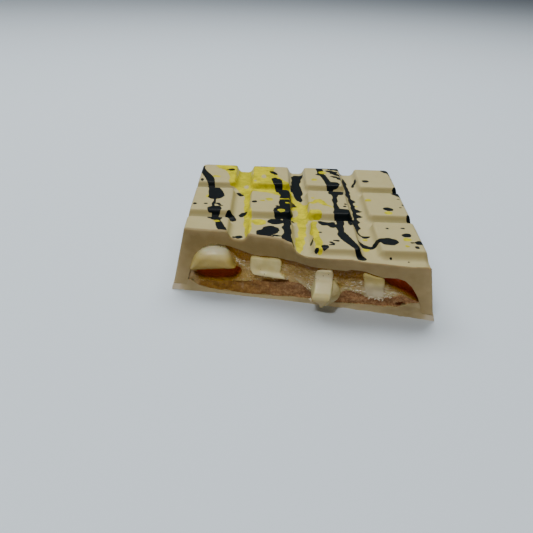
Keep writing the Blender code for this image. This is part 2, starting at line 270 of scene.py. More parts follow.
def pale_floor():
    bm = bmesh.new()
    bmesh.ops.create_grid(bm, x_segments=1, y_segments=1, size=FLOOR_HALF)
    mesh = bpy.data.meshes.new("floor")
    bm.to_mesh(mesh)
    bm.free()
    floor = new_object("floor", mesh)
    paper = Finish("pale_paper")
    floor.data.materials.append(paper.done(Base_Color=PAPER_COLOUR, Roughness=0.9))
    floor.visible_diffuse = False


def soft_panel(name, place, width, height, watts, colour, aim=(0.0, 0.0, 0.0)):
    """A rectangular area light, all in metres, that the camera doesn't see."""
    panel = bpy.data.lights.new(name, "AREA")
    panel.shape = "RECTANGLE"
    panel.size = width
    panel.size_y = height
    panel.energy = watts
    panel.color = colour
    made = bpy.data.objects.new(name, panel)
    made.location = place
    made.rotation_euler = (Vector(aim) - Vector(place)).to_track_quat("-Z", "Y").to_euler()
    made.visible_camera = False
    bpy.context.scene.collection.objects.link(made)


pale_floor()
soft_panel("light_above", (-0.08, 0.33, 0.74), width=0.9, height=0.5, watts=8.6,
           colour=(1.0, 0.98, 0.93), aim=(0.0, 0.02, 0.0))
soft_panel("light_behind", (0.0, 2.6, 1.2), width=3.2, height=1.0, watts=0.7, colour=(0.9, 0.96, 1.0))
soft_panel("light_front", (-0.1, -0.9, 0.16), width=1.3, height=0.3, watts=1.7, colour=(1.0, 0.70, 0.42))
soft_panel("light_glints", (-0.16, -0.36, 0.55), width=0.09, height=0.09, watts=1.35,
           colour=(1.0, 0.97, 0.92))

world = bpy.data.worlds.new("soft_room")
world.use_nodes = True
world.node_tree.nodes["Background"].inputs["Color"].default_value = ROOM_COLOUR
bpy.context.scene.world = world
print("lights:", [light.name for light in bpy.data.lights])

# %% [markdown]
# ## The line of the break
# The bar snapped along a slanting line that isn't straight: it rises and falls across the grooves. Seen
# from above it is one line at the top and one at the underside, and the face leans between the two.
# A few listed points and a curve through them give a break without corners. The curve is a
# Catmull-Rom one, because it passes through its points, where a Bezier's handles would need more care.

# %% Curves through points, and the broken face
TOP_BREAK = [(-40.0, -23.3), (-34.0, -23.6), (-26.3, -24.3), (-21.7, -24.6), (-18.4, -25.0), (-13.0, -27.0),
             (-10.6, -27.5), (-8.0, -28.2), (-5.9, -29.2), (-4.2, -30.9), (-2.2, -32.2), (-0.4, -34.0),
             (0.8, -35.1), (2.7, -36.0), (5.0, -36.5), (10.3, -36.8), (14.2, -36.9), (16.7, -37.1),
             (21.8, -37.9), (29.6, -39.1), (34.2, -39.7), (40.0, -40.0)]
BASE_BREAK = [(-40.0, -22.8), (-33.0, -23.4), (-25.0, -24.4), (-16.0, -25.9), (0.0, -28.5),
              (17.4, -32.0), (28.5, -34.6), (40.0, -37.4)]
TOP_BREAK_Z = 18.5
NOISE_GAIN = 1.6


def through(points, parts=4, closed=False):
    """Points along a smooth curve through given ones; a radius given with them runs along too."""
    known = np.array(points, float)
    if closed:
        known = np.vstack([known[-1], known, known[:2]])
    else:
        known = np.vstack([2 * known[0] - known[1], known, 2 * known[-1] - known[-2]])
    t = np.linspace(0, 1, parts, endpoint=False)[:, None]
    spans = []
    for a, b, c, d in zip(known, known[1:], known[2:], known[3:]):
        spans.append(0.5 * (2 * b + (c - a) * t + (2 * a - 5 * b + 4 * c - d) * t ** 2
                            + (3 * b - a - 3 * c + d) * t ** 3))
    if not closed:
        spans.append(known[-2:-1])
    return np.vstack(spans)


def graded(x, rows):
    """The value at x from rows of place and value, straight between them."""
    spots, values = zip(*rows)
    return np.interp(x, spots, values)


TOP_CURVE = through(TOP_BREAK)
BASE_CURVE = through(BASE_BREAK)


def break_y(x, z):
    """Place of the broken face along Y; it leans forward towards the top, more so to the right."""
    low = graded(x, BASE_CURVE)
    high = graded(x, TOP_CURVE)
    return low + (high - low) * np.clip(z / TOP_BREAK_Z, 0.0, 1.0)


def lumps(x, z, size, seed):
    """Smooth seeded unevenness between about -1 and 1 over the broken face."""
    return np.array([noise.noise(Vector((a / size, b / size, seed))) for a, b in zip(x, z)]) * NOISE_GAIN


for side in (-HALF_X, 0.0, HALF_X):
    lean = break_y(side, 0.0) - break_y(side, HEIGHT)
    print("at x", round(side, 1), "the break leans forward by", round(float(lean), 1), "mm")

# %% [markdown]
# ## Distances to splashes and outlines
# A splash is stored as a distance: each point of the mesh knows how far it lies outside the nearest
# splash, with minus for inside. Painting an image would fix its sharpness, while a distance gives the
# material an edge that stays crisp. Three shapes are enough: a pool with an outline, a streak with a
# changing radius, and an oval drop. The outlines of the fillings are measured by the same functions.

# %% Distance functions
REACH = 1.5
WIDEST_STREAK = 1.5


def to_edge(points, a, b):
    """Share of the way from a to b at which each point lies nearest, and its gap from there."""
    edge = b - a
    away = points - a
    share = np.clip(away @ edge / max(edge @ edge, TINY), 0.0, 1.0)
    return share, np.hypot(*(away - share[:, None] * edge).T)


def pool_distance(points, outline):
    """Signed distance to a closed outline."""
    best = np.full(len(points), FAR)
    inside = np.zeros(len(points), bool)
    for a, b in zip(outline, np.roll(outline, -1, axis=0)):
        _, gap = to_edge(points, a, b)
        best = np.minimum(best, gap)
        if a[1] != b[1]:
            crosses = (a[1] > points[:, 1]) != (b[1] > points[:, 1])
            slant = (points[:, 1] - a[1]) / (b[1] - a[1]) * (b[0] - a[0])
            inside ^= crosses & (points[:, 0] < a[0] + slant)
    return np.where(inside, -best, best)


def streak_distance(points, line):
    """Signed distance to a line whose rows are x, y and radius."""
    best = np.full(len(points), FAR)
    for a, b in zip(line, line[1:]):
        share, gap = to_edge(points, a[:2], b[:2])
        best = np.minimum(best, gap - a[2] - (b[2] - a[2]) * share)
    return best


def oval_distance(points, oval):
    """Signed distance, near enough, to an oval: x, y, two radii and, if it is turned, its degrees."""
    x, y, radius_x, radius_y, *turned = oval
    angle = math.radians(sum(turned))
    away = points - (x, y)
    along = away[:, 0] * math.cos(angle) + away[:, 1] * math.sin(angle)
    beside = away[:, 1] * math.cos(angle) - away[:, 0] * math.sin(angle)
    return (np.hypot(along / radius_x, beside / radius_y) - 1) * min(radius_x, radius_y)


def splash_field(points, pools=(), streaks=(), ovals=(), spiky=()):
    """How far each point lies outside the nearest of the splashes, up to a reach."""
    shapes = [(pool_distance, through(pool, 4, closed=True), 0.0) for pool in pools]
    shapes += [(pool_distance, np.array(pool, float), 0.0) for pool in spiky]
    shapes += [(streak_distance, through(streak, 3), WIDEST_STREAK) for streak in streaks]
    field = np.full(len(points), REACH)
    for measure, line, widest in shapes:
        low = line[:, :2].min(axis=0) - REACH - widest
        high = line[:, :2].max(axis=0) + REACH + widest
        near = np.all((points > low) & (points < high), axis=1)
        field[near] = np.minimum(field[near], measure(points[near], line))
    for oval in ovals:
        reach = max(oval[2], oval[3]) + REACH
        near = np.all(np.abs(points - oval[:2]) < reach, axis=1)
        field[near] = np.minimum(field[near], oval_distance(points[near], oval))
    return field


# %% [markdown]
# ## Finish of the moulded chocolate
# White chocolate is a warm beige with a satin skin from the polished mould. The splashes are coloured
# cocoa butter that was flicked into the mould first, so they lie flush in the skin: black first against
# the mould, lemon yellow under it in places, and a few yellow drops over the black. The material reads
# the stored distances, wavers them a little and turns each into a crisp mask.

# %% Moulded white chocolate
CHOCOLATE = (0.455, 0.41, 0.21)
CHOCOLATE_DUSKY = (0.425, 0.38, 0.185)
LEMON = (0.64, 0.585, 0.0)
LEMON_THIN = (0.37, 0.35, 0.0)
# Black cocoa butter, with a faint blue-green tint that is a painted cool reflection
BLACK_COOL_SHEEN = (0.002, 0.005, 0.007)


def splash_mask(finish, name, softness, waver, spread):
    """1 inside the splashes stored under a name and 0 outside, with a slightly wavering edge."""
    distance = finish.attribute(name) + waver - spread
    return 1 - distance.rise(-softness, softness)


def moulded_chocolate():
    finish = Finish("moulded_white_chocolate")
    waver = (finish.cloud(0.7, 3.0) - 0.5) * 0.28
    yellow = splash_mask(finish, "yellow", 0.09, waver * 1.6, 0.14)
    black = splash_mask(finish, "black", 0.06, waver, 0.18)
    over = splash_mask(finish, "yellow_over", 0.09, waver, 0.1)
    mottle = finish.cloud(5.0, 3.0).rise(0.3, 0.7)
    skin = finish.blend(mottle * 0.5, CHOCOLATE, CHOCOLATE_DUSKY)
    patches = finish.cloud(5.0, 3.0).rise(0.42, 0.58)
    brushed = finish.cloud(1.3, 5.0, 0.6).rise(0.35, 0.6)
    coat = finish.blend(patches * 0.6 + brushed * 0.4, LEMON_THIN, LEMON)
    colour = finish.blend(yellow * 0.96, skin, coat)
    colour = finish.blend(black, colour, BLACK_COOL_SHEEN)
    colour = finish.blend(over * 0.95, colour, coat)
    gloss = finish.cloud(2.5, 3.0) * 0.14
    roughness = gloss + 0.36 - black * 0.06 - yellow * 0.05
    skin_relief = finish.cloud(7.0, 1.0) * 0.8 + finish.cloud(0.5, 3.0) * 0.05
    finish.glow(0.12, (1.0, 0.6, 0.3), 1.2)
    return finish.done(Base_Color=colour, Roughness=roughness, Normal=finish.relief(skin_relief, 0.05),
                       IOR=1.46, Specular_IOR_Level=0.1)


SKIN = moulded_chocolate()
print(SKIN.name, len(SKIN.node_tree.nodes), "nodes")

# %% [markdown]
# ## Finish of the broken chocolate
# Where the bar snapped, the chocolate is matt and waxy, and paler near the outside. Painted shade makes
# it darker and warmer than the skin, most towards the top and less to the right, where the face leans.
# The distance from the outside is stored on the mesh, and a fine grain breaks up the light.

# %% Broken white chocolate
BREAK_PALE = (0.67, 0.59, 0.34)
BREAK_WARM_SHADE = (0.31, 0.24, 0.095)
# Painted shade by the closing layer's fillets, and a painted highlight on its outer corners
BASE_FILLET_SHADE = (0.42, 0.36, 0.19)
BASE_CORNER_HIGHLIGHT = (0.97, 0.93, 0.76)


def broken_chocolate(name, pale, warm_shade, ends=False):
    """The broken face from pale to painted shade, deepest at the top; ends adds painted fillet shade and
    corner highlights.
    """
    finish = Finish(name)
    depth = finish.attribute("depth").rise(0.2, 3.6)
    clouds = finish.cloud(3.0, 3.0).rise(0.3, 0.75)
    height = finish.across("Z").rise(-1.0, 19.0)
    right = finish.across("X").rise(-5.0, 12.0)
    # Painted shade: darker and warmer towards the top and lighter to the right; depth and clouds vary the
    # tone.
    warmth_and_shade = depth * 0.25 + clouds * 0.15 + height * (0.72 - right * 0.42) - right * 0.1
    colour = finish.blend(warmth_and_shade, pale, warm_shade)
    if ends:
        # ends: painted shade towards the fillets, then a painted highlight at the outer corners
        colour = finish.blend(finish.attribute("fillet_shade"), colour, BASE_FILLET_SHADE)
        colour = finish.blend(finish.attribute("corner_highlight"), colour, BASE_CORNER_HIGHLIGHT)
    grain = finish.cloud(0.35, 4.0, 0.6) * 0.5 + finish.cloud(1.6, 3.0) * 0.5
    finish.glow(0.2, (1.0, 0.55, 0.2), 1.5)
    return finish.done(Base_Color=colour, Roughness=0.62, Normal=finish.relief(grain, 0.10))


BREAK = broken_chocolate("broken_white_chocolate", BREAK_PALE, BREAK_WARM_SHADE)
print(BREAK.name, len(BREAK.node_tree.nodes), "nodes")

# %% [markdown]
# ## The profile of a groove
# Between two blocks the surface turns down over a small arc, runs down a slope and turns into the floor
# over a larger arc. One function gives that drop at a distance outside a block's top edge, and another
# gives the distance to the nearest block. Together they draw the whole moulded top, and both arcs can
# be changed by a number, which a mesh shaped by hand wouldn't allow.

# %% Groove profile
EDGE_TANGENT = BLOCK_EDGE_RADIUS * math.tan(GROOVE_SLOPE / 2)
FLOOR_TANGENT = GROOVE_FLOOR_RADIUS * math.tan(GROOVE_SLOPE / 2)
GROOVE_RUN = GROOVE_DEPTH / math.tan(GROOVE_SLOPE)
EDGE_END = EDGE_TANGENT * math.cos(GROOVE_SLOPE)
FLOOR_START = GROOVE_RUN - FLOOR_TANGENT * math.cos(GROOVE_SLOPE)
FLOOR_END = GROOVE_RUN + FLOOR_TANGENT


def arc_height(radius, gap):
    """Height of a circle over its middle at a gap beside it."""
    return np.sqrt(np.maximum(radius ** 2 - gap ** 2, 0))


def groove_drop(s):
    """How far the surface has dropped at a distance s outside a block's top edge."""
    edge = BLOCK_EDGE_RADIUS - arc_height(BLOCK_EDGE_RADIUS, s + EDGE_TANGENT)
    floor = GROOVE_DEPTH - GROOVE_FLOOR_RADIUS + arc_height(GROOVE_FLOOR_RADIUS, FLOOR_END - s)
    turns = [s <= -EDGE_TANGENT, s <= EDGE_END, s <= FLOOR_START, s <= FLOOR_END]
    return np.select(turns, [0 * s, edge, s * math.tan(GROOVE_SLOPE), floor], GROOVE_DEPTH)


def block_distance(x, y):
    """Signed distance in plan to the nearest block's rounded outline; outer blocks run to the wall."""
    best = np.full(np.shape(x), FAR)
    for column in range(COLUMNS):
        across = x - (column - (COLUMNS - 1) / 2) * COLUMN_PITCH
        dx = np.abs(across) - BLOCK_X / 2
        if column == 0:
            dx = np.where(across < 0, -FAR, dx)
        if column == COLUMNS - 1:
            dx = np.where(across > 0, -FAR, dx)
        for row in range(-1, ROWS):
            along = y - (row - (ROWS - 1) / 2) * ROW_PITCH
            longer = BLOCK_BACK if row >= 0 else 0.0
            dy = np.maximum(along - longer, -along) - BLOCK_Y / 2
            if row == ROWS - 1:
                dy = np.where(along > 0, -FAR, dy)
            u = dx + BLOCK_CORNER
            v = dy + BLOCK_CORNER
            rounded = np.hypot(np.maximum(u, 0), np.maximum(v, 0)) + np.minimum(np.maximum(u, v), 0)
            best = np.minimum(best, rounded - BLOCK_CORNER)
    return best


print("a groove's side is", round(EDGE_TANGENT + FLOOR_END, 2), "mm wide with both of its arcs")

# %% [markdown]
# ## Fine grids
# A moulded top is a height over a flat grid, so create_grid gives its points and the formulas above give
# each its place. The grid's lines stand closer where the surface turns, which keeps the arcs smooth and
# spends few faces on the flats. The open rim is then extruded and closed, and the sheet is a solid.

# %% Grids and solids
FINE = 0.42


def groove_lines(count, pitch, block, first=0, back=0.0):
    """Lines along one axis at which the groove's profile turns."""
    stations = [-EDGE_TANGENT, -EDGE_TANGENT / 2, 0.0, EDGE_END, FLOOR_START,
                GROOVE_RUN + FLOOR_TANGENT / 4, FLOOR_END]
    half_gap = (pitch - block) / 2
    lines = []
    for index in range(first, count - 1):
        middle = (index - (count - 2) / 2) * pitch
        longer = back if index >= 0 else 0.0
        lines += [middle + half_gap - station for station in stations]
        lines += [middle - half_gap + longer + station for station in stations]
    return lines


def fine_lines(stops, step):
    """Lines at the stops and evenly between them, no further apart than a step."""
    stops = sorted(set(stops))
    lines = []
    for low, high in zip(stops, stops[1:]):
        parts = max(1, math.ceil((high - low) / step - 0.01))
        lines += [low + (high - low) * part / parts for part in range(parts)]
    return np.array(lines + [stops[-1]])


def grid_points(bm, columns, rows):
    """Makes a grid in a bmesh and returns the two line values at each of its points."""
    bmesh.ops.create_grid(bm, x_segments=len(columns) - 1, y_segments=len(rows) - 1, size=1.0)
    flat = np.array([vert.co[:2] for vert in bm.verts])
    i = np.rint((flat[:, 0] + 1) / 2 * (len(columns) - 1)).astype(int)
    j = np.rint((flat[:, 1] + 1) / 2 * (len(rows) - 1)).astype(int)
    return columns[i], rows[j]


def set_places(bm, x, y, z):
    """Moves each point of a bmesh to its place."""
    for vert, a, b, c in zip(bm.verts, x, y, z):
        vert.co = (a, b, c)


def run_rim(bm, moves):
    """Extrudes the open rim once for each move, which gives a rim point its next place, and closes it."""
    rim = [edge for edge in bm.edges if edge.is_boundary]
    for move in moves:
        made = bmesh.ops.extrude_edge_only(bm, edges=rim)["geom"]
        for item in made:
            if isinstance(item, bmesh.types.BMVert):
                item.co = move(item.co)
        rim = [item for item in made if isinstance(item, bmesh.types.BMEdge) and item.is_boundary]
    bmesh.ops.edgenet_fill(bm, edges=rim)
    bmesh.ops.recalc_face_normals(bm, faces=bm.faces)


def to_object(bm, name, finishes=(), slot=0):
    """Turns a bmesh in millimetres about the grid of blocks into an object in metres."""
    to_metres = Matrix.Scale(MM, 4) @ Matrix.Translation((0, CENTRE_SHIFT, 0))
    bmesh.ops.transform(bm, matrix=to_metres, verts=bm.verts)
    for face in bm.faces:
        face.material_index = slot
    mesh = bpy.data.meshes.new(name)
    for finish in finishes:
        mesh.materials.append(finish)
    bm.to_mesh(mesh)
    bm.free()
    return new_object(name, mesh)


def prism(outline, front, back):
    """A solid with an outline in X and Z that runs from front to back along Y."""
    bm = bmesh.new()
    bm.faces.new([bm.verts.new((x, front, z)) for x, z in outline])
    made = bmesh.ops.extrude_face_region(bm, geom=bm.faces[:])["geom"]
    moved = [item for item in made if isinstance(item, bmesh.types.BMVert)]
    bmesh.ops.translate(bm, verts=moved, vec=(0, back - front, 0))
    bmesh.ops.recalc_face_normals(bm, faces=bm.faces)
    return bm


print("grid lines are at most", FINE, "mm apart")

# %% [markdown]
# ## Cutting with the break
# A grid stood up along the break and pulled far forward becomes the cutter that takes away the missing
# half. Its relief is what stays on the broken face, and each filling has its own. The Boolean modifier
# does the cut, because all the pieces are closed solids, and its result is kept as the piece's own mesh.

# %% Cutters, Booleans and finished pieces


def break_cutter(name, span_x, span_z, step, relief, slot=0):
    """What the break took away in front of a filling; relief(x, z) moves the face back in millimetres."""
    columns = fine_lines(span_x, step)
    rows = fine_lines(span_z, step)
    bm = bmesh.new()
    x, z = grid_points(bm, columns, rows)
    set_places(bm, x, break_y(x, z) + relief(x, z), z)
    run_rim(bm, [lambda point: Vector((point.x, -CUTTER_REACH, point.z))])
    return to_object(bm, name, slot=slot)


def carve(obj, *steps):
    """Applies Boolean steps, each a cutter and an operation, and removes the cutters."""
    for cutter, operation in steps:
        modifier = obj.modifiers.new(cutter.name, "BOOLEAN")
        modifier.operation = operation
        modifier.object = cutter
        modifier.solver = "MANIFOLD"
    settle(obj)
    for cutter, _ in steps:
        bpy.data.objects.remove(cutter, do_unlink=True)


def settle(obj):
    """Makes the result of an object's modifiers its own mesh."""
    evaluated = obj.evaluated_get(bpy.context.evaluated_depsgraph_get())
    obj.data = bpy.data.meshes.new_from_object(evaluated)
    obj.modifiers.clear()


def places(obj):
    """The points of an object's mesh, in millimetres about the grid of blocks."""
    flat = np.empty(len(obj.data.vertices) * 3)
    obj.data.vertices.foreach_get("co", flat)
    return flat.reshape(-1, 3) / MM - (0, CENTRE_SHIFT, 0)


def store(obj, name, values):
    """Stores a number on each point of an object's mesh."""
    obj.data.attributes.new(name, "FLOAT", "POINT").data.foreach_set("value", np.ascontiguousarray(values))


def finish_piece(obj, node, crease=35):
    """Shades a piece smoothly up to a crease angle and lets it stand for its CAD node."""
    obj.data.shade_smooth()
    obj.data.set_sharp_from_angle(angle=math.radians(crease))
    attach(obj, "root")
    if node:
        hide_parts(node)
    obj.data.calc_loop_triangles()
    print(obj.name, len(obj.data.loop_triangles), "triangles")


print("cutters reach", CUTTER_REACH, "mm forward")

# %% [markdown]
# ## The moulded shell
# The shell is a fine height field with its rim extruded down the drafted walls in many small steps, so
# splashes can run over the edge. Two helpers come first: one tells which way is out at any place on the
# rim, and one bends the grid's square back corners onto an arc, which saves a bevel and keeps the grid.

# %% Rim, corners and top of the shell
SHELL_FOOT = SEAM_Z + 0.1
WALL_STEP = FINE * 1.2
RAISED_LEDGE = [(0.0, 0.0), (4.0, 0.27), (12.5, 0.27), (16.5, 0.0)]
HALF_TOP = wall_half_width(HEIGHT - EDGE_DROP)
BACK_TOP = wall_back(HEIGHT - EDGE_DROP)


def outward(x, y, half, back):
    """Unit direction straight out of the bar's outline, turning round its two back corners."""
    u = np.maximum(np.abs(x) - (half - CORNER_RADIUS), 0.0)
    v = np.maximum(y - (back - CORNER_RADIUS), 0.0)
    length = np.maximum(np.hypot(u, v), TINY)
    return np.sign(x) * u / length, v / length


def round_corner(x, y, half, back):
    """Bends the grid's square back corners onto an arc."""
    u = np.abs(x) - (half - CORNER_RADIUS)
    v = y - (back - CORNER_RADIUS)
    at_corner = (u > 0) & (v > 0)
    scale = np.where(at_corner, np.maximum(u, v) / np.maximum(np.hypot(u, v), TINY), 1.0)
    bent_x = np.sign(x) * (half - CORNER_RADIUS + u * scale)
    return np.where(at_corner, bent_x, x), np.where(at_corner, back - CORNER_RADIUS + v * scale, y)


def front_ledge(x, y):
    """Share of the groove's depth that is left; the ledge before the third column is higher."""
    return 1 - graded(x, RAISED_LEDGE) * (y < -HALF_Y + 0.5)


def top_z(x, y):
    """Height of the moulded top."""
    return HEIGHT - groove_drop(block_distance(x, y)) * front_ledge(x, y)


def moulded_shell():
    edges = [CORNER_RADIUS, EDGE_RUN, EDGE_RUN / 2, EDGE_RUN / 4, 0.0]
    columns = groove_lines(COLUMNS, COLUMN_PITCH, BLOCK_X)
    columns += [side * (HALF_TOP - inset) for inset in edges for side in (-1, 1)]
    rows = groove_lines(ROWS, ROW_PITCH, BLOCK_Y, -1, BLOCK_BACK) + [BACK_TOP - inset for inset in edges]
    rows = [line for line in rows if line > -BEYOND_FRONT] + [-BEYOND_FRONT]
    bm = bmesh.new()
    x, y = grid_points(bm, fine_lines(columns, FINE), fine_lines(rows, FINE))
    z = top_z(x, y)
    inset = np.minimum(HALF_TOP - np.abs(x), BACK_TOP - y)
    z -= EDGE_DROP * np.maximum(0.0, 1 - inset / EDGE_RUN) ** 2
    half = wall_half_width(z)
    back = wall_back(z)
    x = np.where(np.abs(x) > HALF_TOP - 1e-6, np.sign(x) * half, x)
    y = np.where(y > BACK_TOP - 1e-6, back, y)
    x, y = round_corner(x, y, half, back)
    set_places(bm, x, y, z)
    levels = math.ceil((HEIGHT - SHELL_FOOT) / WALL_STEP)

    def lowered(level):
        def move(point):
            drop = (point.z - SHELL_FOOT) / (levels - level)
            out_x, out_y = outward(point.x, point.y, wall_half_width(point.z), wall_back(point.z))
            return point + Vector((out_x, out_y, 0)) * WALL_DRAFT * drop - Vector((0, 0, drop))
        return move

    run_rim(bm, [lowered(level) for level in range(levels)])
    return to_object(bm, "white_chocolate_shell", (SKIN, BREAK))


shell = moulded_shell()
print("solid shell:", len(shell.data.vertices), "points")

# %% [markdown]
# ## Hollowing and snapping the shell
# The solid is hollowed by a prism with the section of the fillings' room, and cut by the break. The
# broken face is nearly smooth, with the slow ripples of a clean snap and a crumbled outer edge. The two
# cutters have the material slot of broken chocolate, so the faces that they leave are matt.

# %% Hollow and snap
SHELL_INNER = [(-33.4, 0.0), (-33.0, 3.0), (-32.3, 6.4), (-31.5, 9.8), (-30.4, 12.3), (-28.4, 14.5),
               (-26.6, 15.7), (-24.4, 16.1), (-21.2, 15.7), (-16.0, 14.4), (-13.2, 13.9), (-6.0, 14.3),
               (-2.6, 14.7), (0.7, 15.0), (3.2, 14.8), (8.2, 14.5), (11.8, 14.4), (13.2, 14.9),
               (17.0, 14.6), (20.0, 13.6), (22.4, 13.1), (25.6, 13.4), (28.0, 12.8), (30.1, 10.9),
               (32.0, 7.9), (33.2, 5.0), (33.6, 2.6), (33.7, 0.0)]
CRUMBLE = [(-6.0, 0.8), (3.0, 0.35)]
SNAP_STEP = 0.3
WIDE = [-40.0, 40.0]
TALL = [-2.0, HEIGHT + 2.0]


def snap_relief(x, z):
    """The slow ripples of a clean snap, and its outer edge crumbled a little round."""
    from_edge = np.minimum(top_z(x, break_y(x, z)) - z, wall_half_width(z) - np.abs(x))
    crumble = graded(x, CRUMBLE)
    share = np.clip(1 - from_edge / crumble, 0.0, 1.0)
    rounded = crumble * (1 - np.sqrt(1 - share ** 2))
    return rounded + 0.16 * lumps(x, z, size=6.0, seed=2.0) + 0.05 * lumps(x, z, size=1.5, seed=4.0)


room = to_object(prism(SHELL_INNER, -CUTTER_REACH, INNER_BACK), "room", slot=1)
snap = break_cutter("snap", WIDE, TALL, SNAP_STEP, snap_relief, slot=1)
carve(shell, (room, "DIFFERENCE"), (snap, "DIFFERENCE"))
print("shell before its splashes:", len(shell.data.vertices), "points")

# %% [markdown]
# ## Black splashes
# The black runs across the bar from the back to the break: three long strokes, with drops and smaller
# flicks about them. Each shape is drawn in plan with only the points that it needs. A stroke that
# crosses a groove is drawn straight through it, as the colour fell on the mould from above.

# %% Black splashes in plan
# Pools are outlines of x and y; streaks add a radius; ovals have two radii, and a turn where they need it
LEFT_STROKE = [(-36.0, 35.0), (-33.7, 31.4), (-32.7, 28.1), (-31.7, 25.3), (-30.2, 22.4), (-29.1, 19.3),
               (-28.2, 15.2), (-26.6, 12.0), (-26.0, 9.2), (-25.2, 7.5), (-24.6, 4.9), (-24.3, 2.4),
               (-24.9, 0.8), (-26.1, -0.2), (-27.7, -0.2), (-29.0, 0.9), (-29.0, 3.3), (-29.2, 6.3),
               (-29.6, 9.2), (-30.2, 12.5), (-30.2, 15.0), (-30.9, 16.4), (-31.9, 19.6), (-32.8, 22.1),
               (-33.8, 25.4), (-36.5, 29.0)]
LEFT_STROKE_FOOT = [(-28.2, -7.6), (-27.6, -6.5), (-26.5, -6.1), (-25.2, -6.4), (-24.4, -7.9),
                    (-24.6, -9.3), (-25.2, -11.0), (-24.8, -13.5), (-23.7, -15.3), (-23.9, -17.0),
                    (-23.2, -18.8), (-22.6, -21.0), (-21.8, -23.3), (-21.9, -24.6), (-23.5, -24.4),
                    (-24.3, -22.5), (-24.8, -19.9), (-25.3, -17.6), (-26.4, -16.4), (-27.6, -15.4),
                    (-26.9, -13.0), (-26.7, -9.9), (-27.8, -9.4), (-28.3, -8.6)]
SECOND_STROKE = [(-8.6, 20.5), (-7.8, 21.2), (-7.0, 20.9), (-5.9, 19.9), (-5.3, 18.3), (-5.4, 15.9),
                 (-5.2, 13.0), (-3.6, 10.5), (-2.8, 8.2), (-2.8, 4.1), (-2.6, 0.6), (-4.5, -0.2),
                 (-6.2, 0.4), (-6.0, 2.4), (-5.9, 4.5), (-6.6, 6.7), (-7.6, 8.5), (-7.4, 12.0),
                 (-7.8, 15.3), (-8.3, 16.0), (-8.6, 18.4)]
SECOND_STROKE_FOOT = [(-6.2, 0.8), (-4.6, 1.2), (-3.2, 1.3), (-2.4, 2.9), (-1.6, 2.6), (-0.9, 0.8),
                      (-1.6, 0.3), (-2.6, -1.9), (-2.8, -5.1), (-2.4, -7.2), (-2.7, -9.6), (-3.1, -12.5),
                      (-3.1, -15.8), (-3.4, -19.2), (-3.3, -23.3), (-3.3, -27.5), (-3.0, -29.3),
                      (-2.6, -30.6), (-3.3, -31.8), (-4.4, -30.4), (-5.5, -29.0), (-5.9, -27.8),
                      (-5.3, -25.3), (-5.2, -22.4), (-5.6, -21.2), (-5.2, -18.8), (-5.3, -16.4),
                      (-5.0, -13.0), (-5.2, -9.6), (-5.3, -8.2), (-5.4, -6.9), (-6.0, -4.8), (-6.3, -2.0)]
LEAF = [(-13.1, -25.0), (-12.7, -23.6), (-11.5, -22.6), (-10.5, -20.8), (-9.1, -20.2), (-7.5, -21.1),
        (-6.7, -23.1), (-7.1, -24.6), (-8.6, -26.0), (-9.5, -27.0), (-11.3, -27.7), (-12.7, -27.2)]
GROOVE_STROKE = [(-1.4, 30.0), (0.6, 31.0), (2.2, 30.3), (1.9, 28.2), (1.4, 25.8), (0.8, 21.2), (1.1, 17.8),
                 (1.6, 14.9), (1.3, 11.6), (0.9, 9.4), (1.1, 7.0), (0.9, 5.3), (0.0, 5.9), (-0.6, 6.9),
                 (-1.0, 9.3), (-1.4, 12.1), (-2.0, 14.2), (-2.4, 15.4), (-1.8, 21.3), (-1.6, 25.4)]
RIGHT_STROKE = [(9.6, 34.6), (9.5, 30.9), (9.7, 27.4), (10.3, 25.5), (10.8, 21.8), (11.3, 19.3),
                (13.0, 19.1), (14.3, 18.0), (14.4, 16.6), (13.4, 15.5), (11.9, 15.0), (12.3, 12.5),
                (14.1, 10.0), (14.6, 8.2), (14.2, 7.0), (12.9, 6.9), (12.5, 5.2), (12.1, 1.3),
                (11.9, -2.0), (12.4, -5.3), (15.0, -5.6), (15.5, -6.7), (16.1, -8.1), (15.7, -9.4),
                (14.4, -10.4), (12.9, -11.2), (12.6, -14.5), (12.3, -18.6), (11.9, -22.2), (12.6, -24.0),
                (13.4, -26.3), (14.1, -28.3), (14.8, -30.7), (15.4, -32.2), (15.9, -33.8), (17.2, -34.6),
                (16.9, -35.7), (15.6, -36.1), (14.8, -35.6), (14.4, -34.3), (13.8, -33.0), (12.9, -31.3),
                (11.7, -29.2), (10.8, -27.0), (10.2, -24.2), (10.5, -22.0), (10.4, -18.8), (10.8, -14.0),
                (10.8, -10.3), (10.4, -8.3), (10.7, -6.0), (10.9, -2.7), (10.8, 0.5), (11.1, 5.2),
                (10.9, 6.9), (10.1, 7.6), (10.2, 8.9), (10.6, 12.5), (10.2, 15.5), (9.6, 17.8),
                (9.2, 21.6), (8.6, 24.7), (7.6, 26.6), (7.5, 30.9), (7.3, 34.6), (7.0, 37.5), (8.6, 39.0)]
BLACK_POOLS = [
    LEFT_STROKE, LEFT_STROKE_FOOT, SECOND_STROKE, SECOND_STROKE_FOOT, LEAF, GROOVE_STROKE, RIGHT_STROKE,
    [(-19.0, -7.5), (-18.2, -6.3), (-17.3, -5.4), (-16.4, -5.3), (-16.9, -7.2), (-17.5, -8.4),
     (-18.3, -8.8)],
    [(-20.5, 11.6), (-19.8, 11.7), (-18.9, 10.6), (-18.1, 9.9), (-18.8, 8.9), (-19.7, 9.2)],
    [(14.4, -10.6), (15.4, -10.0), (16.9, -8.8), (17.0, -10.5), (16.4, -12.9), (15.4, -16.0), (14.6, -17.9),
     (14.1, -15.0)],
    [(31.2, 9.8), (33.4, 10.2), (36.0, 9.0), (36.2, 4.8), (34.4, 5.4), (33.2, 7.0), (32.0, 8.2)],
    [(31.0, 32.6), (32.6, 34.0), (35.6, 33.4), (36.2, 27.6), (34.2, 28.2), (33.0, 30.2), (31.8, 31.2)],
]
